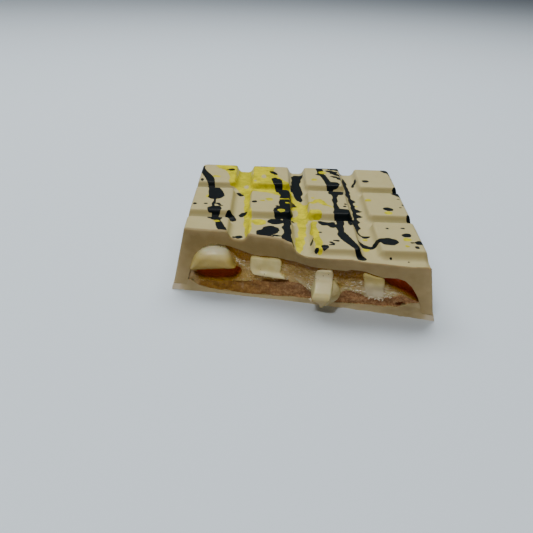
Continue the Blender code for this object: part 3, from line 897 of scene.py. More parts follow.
BLACK_STREAKS = [
    [(-26.7, -0.4, 0.3), (-26.9, -3.0, 0.22), (-27.0, -4.7, 0.25), (-26.7, -6.4, 0.35)],
    [(-26.3, -4.1, 0.3), (-25.6, -4.0, 0.55), (-25.1, -4.9, 0.4), (-24.1, -5.9, 0.25)],
    [(-25.0, 28.4, 0.15), (-24.0, 28.5, 0.3), (-23.4, 28.6, 0.6)],
    [(-12.4, 33.4, 0.35), (-10.5, 33.4, 0.35)],
    [(-8.9, 27.8, 0.6), (-8.2, 26.6, 0.75), (-7.4, 25.2, 0.5)],
    [(-4.8, -6.9, 0.8), (-6.0, -5.9, 0.75), (-7.3, -6.8, 0.7), (-7.5, -8.4, 0.65), (-7.1, -9.6, 0.5),
     (-6.2, -10.3, 0.55)],
    [(-10.6, -27.0, 0.15), (-9.4, -27.3, 0.25), (-8.3, -27.4, 0.2)],
    [(-8.1, -26.5, 0.2), (-7.1, -26.8, 0.3), (-6.1, -26.9, 0.2)],
    [(-5.0, -29.4, 0.2), (-4.0, -30.6, 0.25), (-3.2, -31.4, 0.25), (-2.4, -31.8, 0.2)],
    [(6.9, 26.3, 0.2), (8.0, 26.2, 0.35), (9.5, 26.2, 0.5)],
    [(17.5, -20.3, 0.2), (18.2, -20.9, 0.5), (18.8, -21.1, 0.6), (19.6, -20.6, 0.3)],
    [(15.9, -24.6, 0.3), (16.8, -26.1, 0.6), (17.5, -27.1, 0.85), (18.5, -27.9, 0.9), (19.6, -28.0, 0.75),
     (20.4, -27.8, 0.65), (21.2, -27.6, 0.8), (22.2, -27.6, 1.2)],
    [(20.2, -26.5, 0.2), (21.0, -26.2, 0.25)],
    [(5.6, -16.3, 0.6), (6.6, -17.2, 1.2), (7.8, -17.4, 0.9), (8.8, -18.1, 1.2), (9.2, -19.2, 0.9)],
    [(8.8, -17.0, 0.5), (9.3, -16.6, 0.4)],
    [(8.8, -28.7, 0.3), (9.6, -28.9, 0.35)],
    [(7.6, -29.9, 0.2), (8.5, -30.7, 0.25)],
    [(7.2, -31.7, 0.2), (8.1, -31.6, 0.35)],
    [(10.6, 33.8, 0.9), (13.0, 33.2, 1.3), (15.4, 32.0, 0.9)],
    [(11.2, 30.6, 0.6), (12.6, 29.9, 1.0), (14.2, 29.0, 0.6)],
    [(12.7, 28.2, 0.5), (14.9, 26.2, 0.9)],
    [(12.3, 25.0, 0.5), (13.7, 24.1, 0.7)],
    [(14.8, 23.4, 0.8), (16.6, 21.4, 0.9)],
    [(16.3, -15.6, 0.15), (16.7, -18.2, 0.2), (17.4, -20.3, 0.25)],
    [(2.9, -27.2, 0.25), (2.6, -27.8, 0.3), (2.4, -28.8, 0.25)],
    [(-2.5, -11.0, 0.18), (-1.8, -12.1, 0.2)],
    [(20.9, 26.0, 0.15), (20.4, 23.5, 0.35), (19.5, 21.2, 0.45)],
    [(16.9, 28.2, 0.3), (16.9, 22.6, 0.55), (17.0, 15.0, 0.5), (17.3, 8.0, 0.5), (17.5, 2.0, 0.45),
     (17.5, -4.5, 0.5), (17.2, -9.0, 0.45), (16.9, -14.5, 0.35), (16.6, -19.0, 0.25)],
]
BLACK_OVALS = [
    (-32.6, -4.8, 0.5, 0.6), (-29.4, -4.5, 0.35, 0.3), (-32.6, 17.0, 0.5, 1.0), (-34.1, 9.8, 0.6, 0.9),
    (-18.1, -23.5, 0.9, 0.9, 10), (-19.7, -23.6, 0.25, 0.3), (-17.4, -25.6, 0.28, 0.28),
    (-23.2, 28.6, 0.9, 1.1), (-7.7, -16.7, 2.1, 2.1), (24.2, -28.4, 2.45, 2.2), (-14.3, -1.4, 0.6, 0.7),
    (-7.1, -4.7, 0.35, 0.35), (-6.0, -8.4, 1.3, 1.6), (27.8, -4.3, 1.45, 1.25),
    (30.1, -23.8, 1.25, 1.3), (32.9, -28.6, 1.35, 1.2), (30.8, -28.7, 0.5, 0.4),
    (31.5, -31.7, 0.6, 0.65), (29.7, -18.9, 0.42, 0.4), (25.0, -19.3, 0.35, 0.28),
    (32.1, -2.7, 0.3, 0.3), (33.2, -0.5, 0.38, 0.38), (32.5, 4.6, 0.35, 0.25), (33.6, -9.3, 0.6, 0.8),
    (34.0, -11.4, 1.0, 1.2), (33.5, 15.2, 0.9, 0.9), (23.8, 20.9, 1.05, 1.1), (33.8, 28.0, 0.45, 0.6),
    (33.8, 24.1, 0.4, 0.5), (23.7, -35.2, 0.12, 0.1), (28.6, -36.0, 0.22, 0.22),
    (14.8, -1.2, 0.42, 0.36), (14.2, -3.1, 0.36, 0.36), (5.1, -23.5, 0.38, 0.42),
    (5.8, -33.0, 0.85, 1.1), (3.6, -34.2, 0.35, 0.3), (15.4, 9.3, 0.55, 0.6), (15.0, 22.4, 0.75, 0.8),
    (-17.6, -5.9, 0.3, 0.3),
]


def comb(x, start, end, pitch, reach):
    """A spiky fringe of teeth that point right along a groove's side, longest in the middle."""
    teeth = random.Random(3)
    count = round((start - end) / pitch)
    line = [(x, start)]
    for tooth in range(count):
        y = start - (tooth + 0.5) * pitch
        tip = x + reach * max(0.3, 1 - abs(y + 2) / 28) * teeth.choice((0.35, 0.6, 0.9, 1.1))
        line.append((tip, y - pitch * teeth.uniform(0.1, 0.3)))
        line.append((x + 0.4, y - 0.45 * pitch))
    return line + [(x, end)]


BLACK_SPIKY = [
    [(-22.9, -10.1), (-22.3, -9.7), (-21.6, -8.9), (-20.8, -9.1), (-20.2, -8.9), (-19.7, -10.5),
     (-19.8, -11.8), (-20.4, -12.5), (-21.0, -11.9), (-21.9, -10.6)],
    comb(x=17.0, start=26.5, end=-15.0, pitch=4.2, reach=3.0),
]
print("black:", len(BLACK_POOLS + BLACK_SPIKY), "pools,", len(BLACK_STREAKS), "streaks and",
      len(BLACK_OVALS), "drops")

# %% [markdown]
# ## Yellow splashes
# The lemon yellow lies in broad pools over the two left columns and down the groove between the second
# and third, with bare patches in them. Smaller drops lie on the other blocks, some over the black.

# %% Yellow splashes in plan
YELLOW_BACK = [(-29.0, 40.0), (-29.5, 35.0), (-29.0, 32.3), (-27.8, 30.1), (-25.8, 28.4), (-24.5, 25.9),
               (-23.6, 23.2), (-23.2, 20.3), (-23.4, 17.3), (-22.9, 15.6), (-21.2, 15.2), (-20.2, 14.6),
               (-19.5, 12.5), (-18.4, 10.3), (-17.7, 8.0), (-17.5, 1.5), (-17.2, -5.0), (-17.1, -10.6),
               (-16.9, -15.0), (-16.4, -20.0), (-16.0, -26.4), (-15.0, -26.4), (-14.7, -20.2),
               (-15.0, -16.5), (-14.9, -12.0), (-15.1, -9.5), (-15.0, -7.0), (-15.8, -4.8),
               (-15.9, 4.2), (-15.5, 7.6), (-14.1, 7.7), (-12.2, 7.4), (-10.5, 7.0), (-9.3, 6.5),
               (-8.0, 5.6), (-6.6, 4.8), (-5.8, 4.0), (-6.2, 6.0), (-7.0, 7.4), (-5.9, 8.6),
               (-3.5, 8.3), (-2.4, 9.5), (-2.8, 14.7), (-2.9, 16.6), (-4.6, 18.4), (-6.4, 22.0),
               (-7.1, 24.1), (-8.4, 27.9), (-8.0, 30.5), (-8.3, 35.0), (-9.5, 41.0), (-14.0, 38.0),
               (-17.5, 43.5), (-21.0, 39.0), (-25.5, 44.0)]
YELLOW_GROOVE = [(-3.6, 12.0), (-3.2, 14.6), (-2.2, 13.8), (-1.5, 9.1), (-0.7, 5.8), (0.6, 4.3),
                 (1.2, 2.3), (2.2, 1.1), (2.5, -2.2), (2.3, -8.5), (2.8, -9.9), (1.7, -12.4),
                 (1.2, -20.8), (0.7, -22.6), (0.6, -26.5), (-0.1, -29.0), (-0.4, -31.6), (-1.1, -32.4),
                 (-1.8, -31.4), (-1.6, -29.4), (-1.9, -27.5), (-1.8, -24.0), (-0.9, -21.8),
                 (-0.7, -18.0), (-0.8, -12.5), (-1.4, -11.3), (-3.1, -10.2), (-3.2, -6.0), (-3.2, 0.0),
                 (-3.2, 8.0)]
YELLOW_STREAK = [(3.4, -15.9), (4.4, -16.4), (4.2, -20.9), (4.7, -24.1), (4.8, -26.9), (5.2, -29.9),
                 (5.1, -32.9), (4.9, -34.2), (4.5, -35.2), (4.0, -34.4), (3.5, -33.6), (3.3, -32.0),
                 (3.3, -29.6), (3.2, -26.2), (2.6, -23.4), (2.7, -19.2), (2.9, -17.2)]
YELLOW_POOLS = [
    YELLOW_BACK, YELLOW_GROOVE, YELLOW_STREAK,
    [(-14.5, -17.5), (-14.1, -16.0), (-12.6, -15.8), (-10.9, -16.1), (-10.5, -17.8), (-11.1, -19.3),
     (-12.8, -19.9), (-13.9, -19.0)],
    [(2.9, -7.0), (3.9, -6.6), (6.1, -6.9), (6.4, -8.7), (6.2, -9.6), (5.0, -10.3), (3.3, -10.3),
     (2.2, -10.0), (1.9, -9.0), (2.4, -7.9)],
]
YELLOW_STREAKS = [
    [(3.0, -0.6, 0.5), (4.2, -1.0, 0.6), (5.3, 0.4, 0.8), (6.5, 1.2, 1.0), (7.3, -0.4, 0.9),
     (8.1, -2.0, 0.6), (8.9, -2.8, 0.35), (11.0, -4.6, 0.25)],
]
YELLOW_OVALS = [
    (4.5, 3.3, 0.45, 0.5), (6.0, 20.9, 0.95, 1.1), (22.5, 3.0, 0.9, 1.0), (27.5, -7.2, 1.2, 1.2),
    (29.6, -26.8, 1.1, 1.0), (28.9, -31.1, 0.6, 0.5), (18.3, -22.8, 0.6, 0.45),
    (17.7, -29.4, 0.85, 0.9), (18.9, 3.0, 0.3, 0.3), (-28.0, 20.9, 1.2, 0.9), (-29.4, 2.1, 0.35, 0.8),
    (-9.5, 1.0, 1.0, 1.2, 30), (-11.8, -0.3, 0.6, 0.4),
]
YELLOW_BARE = [
    (-17.5, 17.6, 0.95, 2.0), (-11.6, 22.6, 0.95, 2.3), (-14.6, 17.9, 0.7, 0.9),
    (-13.6, 13.6, 1.7, 1.0), (-1.6, -5.4, 1.15, 4.0, -12), (-1.0, 3.0, 0.4, 1.3),
]
OVER_STREAKS = [[(-6.0, 1.7, 0.35), (-4.6, 1.6, 0.3), (-3.3, 1.7, 0.3)]]
OVER_OVALS = [
    (9.3, 28.5, 1.35, 1.3), (-3.7, -1.6, 0.65, 0.4), (-5.9, -7.9, 1.0, 1.0), (-24.9, -17.8, 0.9, 0.45),
]
print("yellow:", len(YELLOW_POOLS), "pools,", len(YELLOW_OVALS + OVER_OVALS), "drops")

# %% [markdown]
# ## Splashes on the walls
# Only the top and the break show in the photograph. The walls were in the same mould, so they carry the
# same kind of splashes: the strokes that reach an edge run on down the wall, and seeded drops lie
# between them. Each wall is unrolled: a point on it counts as lying as far outside the top's edge as it
# lies below it.

# %% Store the splashes on the shell
WALL_DROP_SHARE = 0.7


def unrolled(points):
    """Plan places of the shell's points, with the walls folded outwards."""
    x, y, z = points.T
    half = wall_half_width(z)
    back = wall_back(z)
    out_x, out_y = outward(x, y, half, back)
    inner_x = np.clip(x, -HALF_TOP, HALF_TOP)
    inner_y = np.minimum(y, BACK_TOP)
    rim = HEIGHT - groove_drop(block_distance(inner_x, inner_y)) - EDGE_DROP
    below = np.maximum(rim - z, 0.0)
    on_wall = (np.abs(x) > HALF_TOP - 0.05) | (y > BACK_TOP - 0.05)
    below = np.where(on_wall, below, 0.0)
    return np.stack([inner_x + out_x * below, inner_y + out_y * below], axis=1)


def wall_flicks(seed, count, size):
    """Drops and short streaks flicked over the two side walls and the moulded end."""
    chance = random.Random(seed)
    ovals = []
    streaks = []
    for wall in range(3):
        for _ in range(count):
            along = chance.uniform(-20.0, 33.0) if wall < 2 else chance.uniform(-32.0, 32.0)
            below = chance.uniform(1.0, 15.0)
            radius = size * chance.uniform(0.35, 1.0) ** 2 + 0.2
            side = (-1, 1)[wall % 2]
            spot = (side * (HALF_TOP + below), along) if wall < 2 else (along, BACK_TOP + below)
            if chance.random() < WALL_DROP_SHARE:
                ovals.append((*spot, radius, radius * chance.uniform(0.7, 1.1), chance.uniform(0, 90)))
            else:
                run = Vector(spot)
                lean = Vector((chance.uniform(-1, 1), chance.uniform(-1, 1))).normalized() * size * 2.2
                streaks.append([(*run, radius * 0.5), (*(run + lean * 0.5), radius * 0.7),
                                (*(run + lean), radius * 0.25)])
    return streaks, ovals


WALL_STROKES = [
    [(-34.5, 30.5, 1.6), (-37.5, 31.2, 1.3), (-41.0, 30.6, 0.9), (-44.5, 31.0, 0.4)],
    [(-34.5, -8.0, 0.4), (-38.0, -9.5, 0.8), (-42.5, -9.0, 0.6), (-45.0, -7.5, 0.3)],
    [(34.5, -11.0, 0.8), (37.0, -12.5, 0.9), (41.5, -12.0, 0.5), (44.0, -13.0, 0.25)],
    [(34.5, 8.0, 0.9), (38.0, 7.0, 0.8), (40.5, 3.5, 0.7), (45.0, 2.0, 0.5), (48.0, 2.5, 0.2)],
    [(34.5, 31.0, 1.2), (37.0, 29.5, 0.8), (39.5, 29.8, 0.35)],
    [(8.4, 35.0, 1.1), (8.0, 39.0, 0.9), (9.6, 43.0, 0.7), (9.0, 47.5, 0.4)],
    [(12.5, 34.5, 0.6), (13.5, 37.5, 0.4), (13.2, 39.5, 0.2)],
    [(-11.5, 34.0, 0.5), (-12.2, 37.0, 0.6), (-11.0, 40.5, 0.3)],
    [(24.5, 36.0, 0.3), (26.0, 39.0, 0.7), (25.0, 43.5, 0.5), (27.5, 46.5, 0.2)],
]


def store_splashes():
    points = places(shell)
    plan = unrolled(points)
    plan = plan + 0.16 * np.stack([np.sin(plan @ (2.3, 1.1)), np.sin(plan @ (-1.4, 2.9) + 1.0)], axis=1)
    flicked_streaks, flicked_ovals = wall_flicks(seed=11, count=13, size=1.1)
    store(shell, "black", splash_field(plan, BLACK_POOLS, BLACK_STREAKS + WALL_STROKES + flicked_streaks,
                                       BLACK_OVALS + flicked_ovals, BLACK_SPIKY))
    _, yellow_ovals = wall_flicks(seed=23, count=4, size=1.4)
    yellow = splash_field(plan, YELLOW_POOLS, YELLOW_STREAKS, YELLOW_OVALS + yellow_ovals)
    bare = splash_field(plan, ovals=YELLOW_BARE)
    store(shell, "yellow", np.maximum(yellow, -bare))
    store(shell, "yellow_over", splash_field(plan, streaks=OVER_STREAKS, ovals=OVER_OVALS))
    outer = np.minimum(wall_half_width(points[:, 2]) - np.abs(points[:, 0]), HEIGHT - points[:, 2])
    store(shell, "depth", np.maximum(outer, 0.0))


store_splashes()
finish_piece(shell, "shell")

# %% [markdown]
# ## The closing layer
# The mould is closed with a last thin layer of chocolate, scraped flat, which leaves a small lip round
# the rim and a faint seam above it. Where it meets the side walls it rises in a fillet, and at the left
# of the break its underside lifts a little. A grid with its rim run down in steps gives the lip its
# flare, which a bevel couldn't, because the lip ends in a slight undercut.

# %% Shape of the closing layer
CLOSING_TOP = [(-33.0, 3.0), (-32.8, 3.8), (-32.0, 3.7), (-31.0, 2.9), (-29.8, 2.1), (-28.0, 1.5),
               (-25.0, 1.1), (-15.7, 0.95), (-6.0, 1.2), (-1.0, 1.8), (3.0, 2.0), (8.0, 1.7),
               (12.0, 1.9), (14.7, 2.0), (19.4, 2.4), (24.0, 2.6), (26.9, 3.1), (28.2, 3.4),
               (29.7, 4.6), (31.6, 5.4), (33.0, 5.45), (33.15, 4.8), (33.6, 2.5)]
LIP_STEPS = [(0.0, 0.0), (0.25, 0.03), (0.5, 0.10), (1.0, 0.22), (1.5, 0.38), (1.85, 0.5), (2.0, 0.46)]
CLOSING_STEP = 0.8
FILLET_X = 32.5
BOTTOM_ARCH = 0.6
ARCH_X = -32.0
ARCH_WIDTH = 3.6
ARCH_BACK = 20.0


def arch(x, y):
    """How far the underside lifts off the ground at the left of the break."""
    forward = min(max((2.0 - y) / ARCH_BACK, 0.0), 1.0)
    return BOTTOM_ARCH * math.exp(-((x - ARCH_X) / ARCH_WIDTH) ** 2) * forward


def closing_layer():
    half = wall_half_width(SEAM_Z) + LIP_OUT
    back = wall_back(SEAM_Z) + LIP_OUT
    edges = [CORNER_RADIUS, 0.4, 0.0]
    columns = [side * (half - inset) for inset in edges for side in (-1, 1)]
    columns += [x for x, _ in CLOSING_TOP if abs(x) > FILLET_X]
    rows = [-BEYOND_FRONT, INNER_BACK] + [back - inset for inset in edges]
    bm = bmesh.new()
    x, y = grid_points(bm, fine_lines(columns, CLOSING_STEP), fine_lines(rows, CLOSING_STEP))
    under = (x >= CLOSING_TOP[0][0]) & (x <= CLOSING_TOP[-1][0]) & (y <= INNER_BACK)
    z = np.where(under, graded(x, CLOSING_TOP), SEAM_Z)
    x, y = round_corner(x, y, half, back)
    set_places(bm, x, y, z)

    def stepped(step, last):
        drop = step[0] - last[0]
        out = step[1] - last[1]

        def move(point):
            out_x, out_y = outward(point.x, point.y, half, back)
            wobble = 1 + 0.35 * noise.noise(point * 0.35)
            lowered = point + Vector((out_x, out_y, 0)) * out * wobble - Vector((0, 0, drop))
            if step is LIP_STEPS[-1]:
                lowered.z = max(0.0, arch(point.x, point.y))
            return lowered
        return move

    run_rim(bm, [stepped(step, last) for last, step in zip(LIP_STEPS, LIP_STEPS[1:])])
    return to_object(bm, "closing_layer_of_chocolate", (CLOSING_SKIN, CLOSING_BREAK))


print("the lip flares by", max(out for _, out in LIP_STEPS), "mm over", LIP_STEPS[-1][0], "mm")

# %% [markdown]
# ## Finish of the closing layer
# The scraped skin is duller than the moulded one and faintly streaked along the bar: noise on a place
# that is stretched in Y gives the streaks. The broken end has the same finish as the shell's, with
# painted shade towards the fillets and a painted highlight on the two outer corners, so the mesh stores
# where those lie.

# %% Closing layer, scraped and snapped
SCRAPED = (0.50, 0.45, 0.235)
SCRAPED_DUSKY = (0.45, 0.40, 0.20)
BASE_PALE = (0.77, 0.71, 0.45)
BASE_WARM_SHADE = (0.56, 0.50, 0.29)
# Share of painted shade along the broken end, most by the fillets
FILLET_SHADE_SHARE = [(-34.0, 0.1), (-32.0, 0.7), (-27.0, 0.5), (-10.0, 0.0), (18.0, 0.0), (24.0, 0.4),
              (31.0, 0.7), (34.0, 0.2)]
BASE_TALL = [-1.0, 6.5]
BASE_STEP = 0.4
CORNER_START = 34.2
CORNER_RUN = 1.5


def scraped_chocolate():
    finish = Finish("scraped_white_chocolate")
    streaks = finish.cloud(1.0, 4.0, place=finish.stretched(0.5, 6.0, 0.5))
    colour = finish.blend(streaks.rise(0.3, 0.7), SCRAPED, SCRAPED_DUSKY)
    finish.glow(0.15, (1.0, 0.6, 0.3), 1.2)
    return finish.done(Base_Color=colour, Roughness=0.5, Normal=finish.relief(streaks, 0.06))


def base_relief(x, z):
    return 0.14 * lumps(x, z, size=3.0, seed=6.0) + 0.10 * lumps(x, z, size=0.9, seed=8.0)


def store_base_tones():
    """Stores how far inside each point lies, and where shade and a highlight are painted on the broken end.
    """
    x, _, z = places(closing).T
    store(closing, "depth", np.maximum(wall_half_width(z) - np.abs(x), 0.0))
    store(closing, "fillet_shade", graded(x, FILLET_SHADE_SHARE))
    store(closing, "corner_highlight", np.clip((np.abs(x) - CORNER_START) / CORNER_RUN, 0.0, 1.0))


CLOSING_SKIN = scraped_chocolate()
CLOSING_BREAK = broken_chocolate("broken_closing_chocolate", BASE_PALE, BASE_WARM_SHADE, ends=True)
closing = closing_layer()
base_snap = break_cutter("base_snap", WIDE, BASE_TALL, BASE_STEP, base_relief, slot=1)
carve(closing, (base_snap, "DIFFERENCE"))
store_base_tones()
finish_piece(closing, "closing_layer")

# %% [markdown]
# ## Finish of the wafer
# The crunchy layer is crushed wafer in a nut paste: dry, pinkish brown and full of pores, amber and
# thin at the left, where a pale film of chocolate lies over its end. Cells give the pores, painted dark
# as the shade in them, and the pale crumbs, because each has a middle and an edge, and clouds give the
# patches and the dark speckle. The torn hole is painted dark red as shade.

# %% Crushed wafer
AMBER_CRUMB = (0.36, 0.205, 0.02)
AMBER_CRUMB_DARK = (0.21, 0.10, 0.006)
PINK_CRUMB = (0.62, 0.40, 0.215)
PINK_CRUMB_DARK = (0.33, 0.18, 0.08)
PORE_SHADE = (0.30, 0.155, 0.06)
PALE_PATCH = (0.55, 0.42, 0.27)
PALE_CRUMB = (0.68, 0.50, 0.32)
SPECKLE = (0.28, 0.11, 0.04)
WAFER_FILM = (0.50, 0.40, 0.22)
TORN_HOLE_SHADE = (0.20, 0.035, 0.001)


def crushed_wafer():
    finish = Finish("crushed_wafer")
    right = finish.across("X").rise(-24.0, 4.0)
    crumb = finish.cloud(0.9, 4.0, 0.6)
    pores = finish.cells(0.9, finish.stretched(0.8, 1.0, 1.3)).rise(0.05, 0.28)
    left_tone = finish.blend(crumb.rise(0.3, 0.7), AMBER_CRUMB, AMBER_CRUMB_DARK)
    right_tone = finish.blend(crumb.rise(0.3, 0.7), PINK_CRUMB, PINK_CRUMB_DARK)
    colour = finish.blend(right, left_tone, right_tone)
    # Painted shade in the small pores
    colour = finish.blend(pores, PORE_SHADE, colour)
    pale = finish.cloud(2.2, 3.0).rise(0.58, 0.75)
    colour = finish.blend(pale * 0.4, colour, PALE_PATCH)
    crumbs = finish.cells(1.1).rise(0.16, 0.08) * finish.cloud(2.6, 2.0).rise(0.45, 0.6)
    colour = finish.blend(crumbs * right * 0.6, colour, PALE_CRUMB)
    speckle = finish.cloud(0.4, 3.0, 0.6).rise(0.5, 0.62)
    colour = finish.blend(speckle * (0.25 + right * 0.4), colour, SPECKLE)
    film = finish.across("X").rise(-28.5, -31.5)
    colour = finish.blend(film * 0.75, colour, WAFER_FILM)
    # Painted shade inside the torn hole
    colour = finish.blend(finish.attribute("hole_shade"), colour, TORN_HOLE_SHADE)
    height = crumb * 0.6 + pores * 0.4
    finish.glow(0.1, (1.0, 0.4, 0.2), 1.0)
    return finish.done(Base_Color=colour, Roughness=0.68, Normal=finish.relief(height, 0.3))


WAFER = crushed_wafer()
print(WAFER.name, len(WAFER.node_tree.nodes), "nodes")

# %% [markdown]
# ## The wafer layer
# The section is a prism between the closing layer and the gel, and the break through it is rough. At
# the right a lump tore out and left a small hole, painted dark inside as shade. Pores are pits pushed
# into the cutter's face, because they catch real shade there, and finer crumb is left to the finish.

# %% Wafer
WAFER_TOP = [(-32.6, 3.85), (-31.4, 3.85), (-28.0, 3.6), (-24.0, 3.85), (-20.7, 4.3), (-17.2, 5.0),
             (-10.8, 5.6), (-7.3, 5.7), (-3.6, 6.8), (-1.4, 7.0), (-0.3, 7.2), (0.8, 6.5), (2.9, 4.8),
             (4.5, 4.4), (9.0, 4.2), (10.5, 4.4), (11.3, 5.2), (11.9, 6.1), (13.2, 6.9), (14.5, 7.0),
             (16.2, 6.2), (18.4, 5.4), (19.4, 4.8), (21.3, 4.8), (22.9, 5.4), (25.8, 6.4), (27.4, 7.3),
             (29.5, 7.0), (31.3, 6.3), (33.0, 5.6)]
WAFER_BITE = 0.05
HOLE = (28.0, 4.1)
HOLE_RADII = (1.4, 0.75)
LAYER_SPAN = [-36.0, 36.0]
WAFER_TALL = [0.5, 9.0]
WAFER_STEP = 0.24


def torn_hole(x, z):
    """1 in the middle of the hole that a lump of wafer left, falling to 0 round it."""
    away = np.hypot((x - HOLE[0]) / HOLE_RADII[0], (z - HOLE[1]) / HOLE_RADII[1])
    return np.clip(1 - away, 0.0, 1.0)


def crumb_relief(x, z):
    """Coarse crumb, pores pushed back where the noise is lowest, and the torn hole."""
    coarse = lumps(x, z, size=2.4, seed=10.0)
    fine = lumps(x, z, size=0.8, seed=12.0)
    pits = np.maximum(-fine - 0.35, 0.0)
    return 0.35 + 0.30 * coarse + 0.14 * fine + 0.8 * pits + 2.4 * np.sqrt(torn_hole(x, z))


def wafer_section():
    """Section of the wafer: it bites a little into the gel above and the chocolate below."""
    upper = [(x, z + WAFER_BITE) for x, z in WAFER_TOP[1:]]
    lower = [(x, z - WAFER_BITE) for x, z in CLOSING_TOP if -32.0 < x < 33.1]
    return upper + lower[::-1]


def store_hole_shade():
    x, _, z = places(wafer).T
    # Painted shade inside the torn hole, strongest in its middle
    store(wafer, "hole_shade", np.clip(torn_hole(x, z) * 3, 0.0, 1.0))


wafer = to_object(prism(wafer_section(), -BEYOND_FRONT, LAYER_BACK), "crunchy_wafer", (WAFER,))
wafer_snap = break_cutter("wafer_snap", LAYER_SPAN, WAFER_TALL, WAFER_STEP, crumb_relief)
carve(wafer, (wafer_snap, "DIFFERENCE"))
store_hole_shade()
finish_piece(wafer, "wafer_layer", crease=60)

# %% [markdown]
# ## Outlines on the broken face
# The gel and the ganache share one face, so their outlines are drawn together: the four ropes, the
# pocket that opened under the first rope, the recess at the far right, two thin slits, and the streaks
# of cream that the break smeared over the gel; the first of these also stands in as a painted row of
# glints. All are in X and Z, as one looks at the face. Drawing them once keeps the gel's hollows and
# the ropes' edges in step.

# %% Ropes, hollows, slits and streaks
ROPES = {
    "ganache_1": [(-32.0, 7.2), (-31.7, 9.4), (-30.8, 11.9), (-29.1, 14.1), (-27.2, 15.3), (-25.0, 15.8),
                  (-23.2, 15.4), (-21.4, 14.3), (-20.2, 12.8), (-19.6, 11.2), (-19.3, 10.0), (-18.7, 9.4),
                  (-19.6, 8.8), (-23.8, 8.4), (-28.5, 7.7)],
    "ganache_2": [(-13.7, 8.2), (-14.5, 9.4), (-14.6, 11.3), (-14.1, 13.4), (-10.4, 13.5), (-6.1, 13.7),
                  (-5.5, 11.3), (-5.8, 9.3), (-4.7, 8.6), (-5.6, 8.2), (-10.7, 7.9)],
    "ganache_3": [(3.6, 7.9), (3.9, 10.5), (4.1, 13.6), (6.0, 13.8), (8.2, 13.9), (8.5, 10.5), (8.7, 7.7)],
    "ganache_4": [(18.9, 5.2), (17.7, 8.0), (17.1, 11.0), (16.8, 13.9), (20.0, 13.1), (22.5, 12.5),
                  (22.9, 9.0), (23.2, 6.3), (21.0, 5.2)],
}
POCKET = [(-31.0, 6.3), (-28.0, 7.1), (-23.8, 8.2), (-20.7, 8.8), (-17.9, 8.8), (-17.2, 7.6), (-18.3, 6.0),
          (-20.2, 4.8), (-23.8, 4.2), (-27.4, 4.1), (-29.8, 4.9)]
POCKET_DEPTH = 6.0
HOLLOW_ROUND = 1.4
RECESS = [(22.8, 11.2), (24.6, 9.9), (26.8, 8.9), (29.2, 7.7), (31.4, 6.5), (34.0, 5.2), (34.0, 14.0),
          (28.0, 15.0), (22.4, 14.0)]
RECESS_DEPTH = 4.2
SLIT = [(-32.0, 7.6, 0.1), (-31.8, 9.2, 0.25), (-31.1, 11.4, 0.2)]
UNDER_SLIT = [(-10.6, 5.95, 0.05), (-7.3, 6.1, 0.15), (-3.6, 7.05, 0.05)]
SLIT_FADE = 0.35
CREAM_AND_GLINT_STREAKS = [
    # The first streak is cream and a painted row of glints between the first two ropes; the rest are
    # smeared cream
    [(-19.6, 13.2, 0.3), (-17.4, 11.2, 0.6), (-15.4, 9.2, 0.3)],
    [(11.6, 6.8, 0.3), (13.6, 7.7, 0.4), (15.6, 7.2, 0.5), (18.0, 6.1, 0.5)],
    [(22.8, 6.3, 0.5), (24.4, 7.2, 0.7), (26.8, 7.7, 0.3)],
    [(-1.2, 8.6, 0.3), (0.8, 7.4, 0.5), (2.6, 5.8, 0.6), (2.8, 8.6, 0.4)],
    [(-0.4, 8.4, 0.3), (1.2, 6.6, 0.5), (3.0, 4.4, 0.4)],
]


def section_distance(x, z, outline, smooth=True):
    """Signed distance over the broken face to an outline in X and Z."""
    line = through(outline, 4, closed=True) if smooth else np.array(outline, float)
    return pool_distance(np.stack([x, z], axis=1), line)


def line_closeness(x, z, line):
    """1 on a thin line over the broken face, falling to 0 beside it."""
    gap = streak_distance(np.stack([x, z], axis=1), through(line, 3))
    return np.clip(1 - gap / SLIT_FADE, 0.0, 1.0)


def fade(gap, width):
    """1 up to a gap of 0, then falling away over a width."""
    return np.exp(-np.maximum(gap, 0.0) / width)


print(len(ROPES), "ropes; the pocket is", POCKET_DEPTH, "mm deep and the recess", RECESS_DEPTH, "mm")

# %% [markdown]
# ## The torn gel
# The gel is a moist jelly that was torn rather than snapped: its face is lumpy, with small steep facets
# that glint. Left under the first rope of ganache and at the far right it came away and left hollows.
# Sculpting could give such a face, but layers of noise on the cutter do it in a few lines, and the
# hollows are the outlines above, pushed in with a rounded bottom.

# %% Relief of the gel
GEL_TALL = [3.0, 18.0]
GEL_STEP = 0.26
BY_FIRST_DEPTH = [(-30.5, 3.2), (-28.5, 1.6), (-23.0, 2.0), (-19.5, 0.6)]


def hollow(gap, depth):
    """Depth of a hollow at a signed distance to its outline, with a rounded bottom."""
    share = np.clip(-gap / HOLLOW_ROUND, 0.0, 1.0)
    return depth * np.sqrt(1 - (1 - share) ** 2)


def torn_relief(x, z):
    """Lumps and steep little facets of torn gel, with its two hollows and the slits by the ropes."""
    big = 0.3 * lumps(x, z, size=3.2, seed=20.0)
    small = 0.14 * lumps(x, z, size=0.7, seed=22.0)
    facets = 0.18 * np.abs(lumps(x, z, size=1.0, seed=24.0))
    relief = 0.5 + big + small - facets
    relief += hollow(section_distance(x, z, POCKET), POCKET_DEPTH)
    by_first = np.clip(1.6 - section_distance(x, z, ROPES["ganache_1"]), 0.0, 1.0) * (z > 7.0)
    relief += by_first * graded(x, BY_FIRST_DEPTH)
    relief += hollow(section_distance(x, z, RECESS, smooth=False), RECESS_DEPTH)
    relief += 2.0 * line_closeness(x, z, SLIT) + 1.6 * line_closeness(x, z, UNDER_SLIT)
    return relief


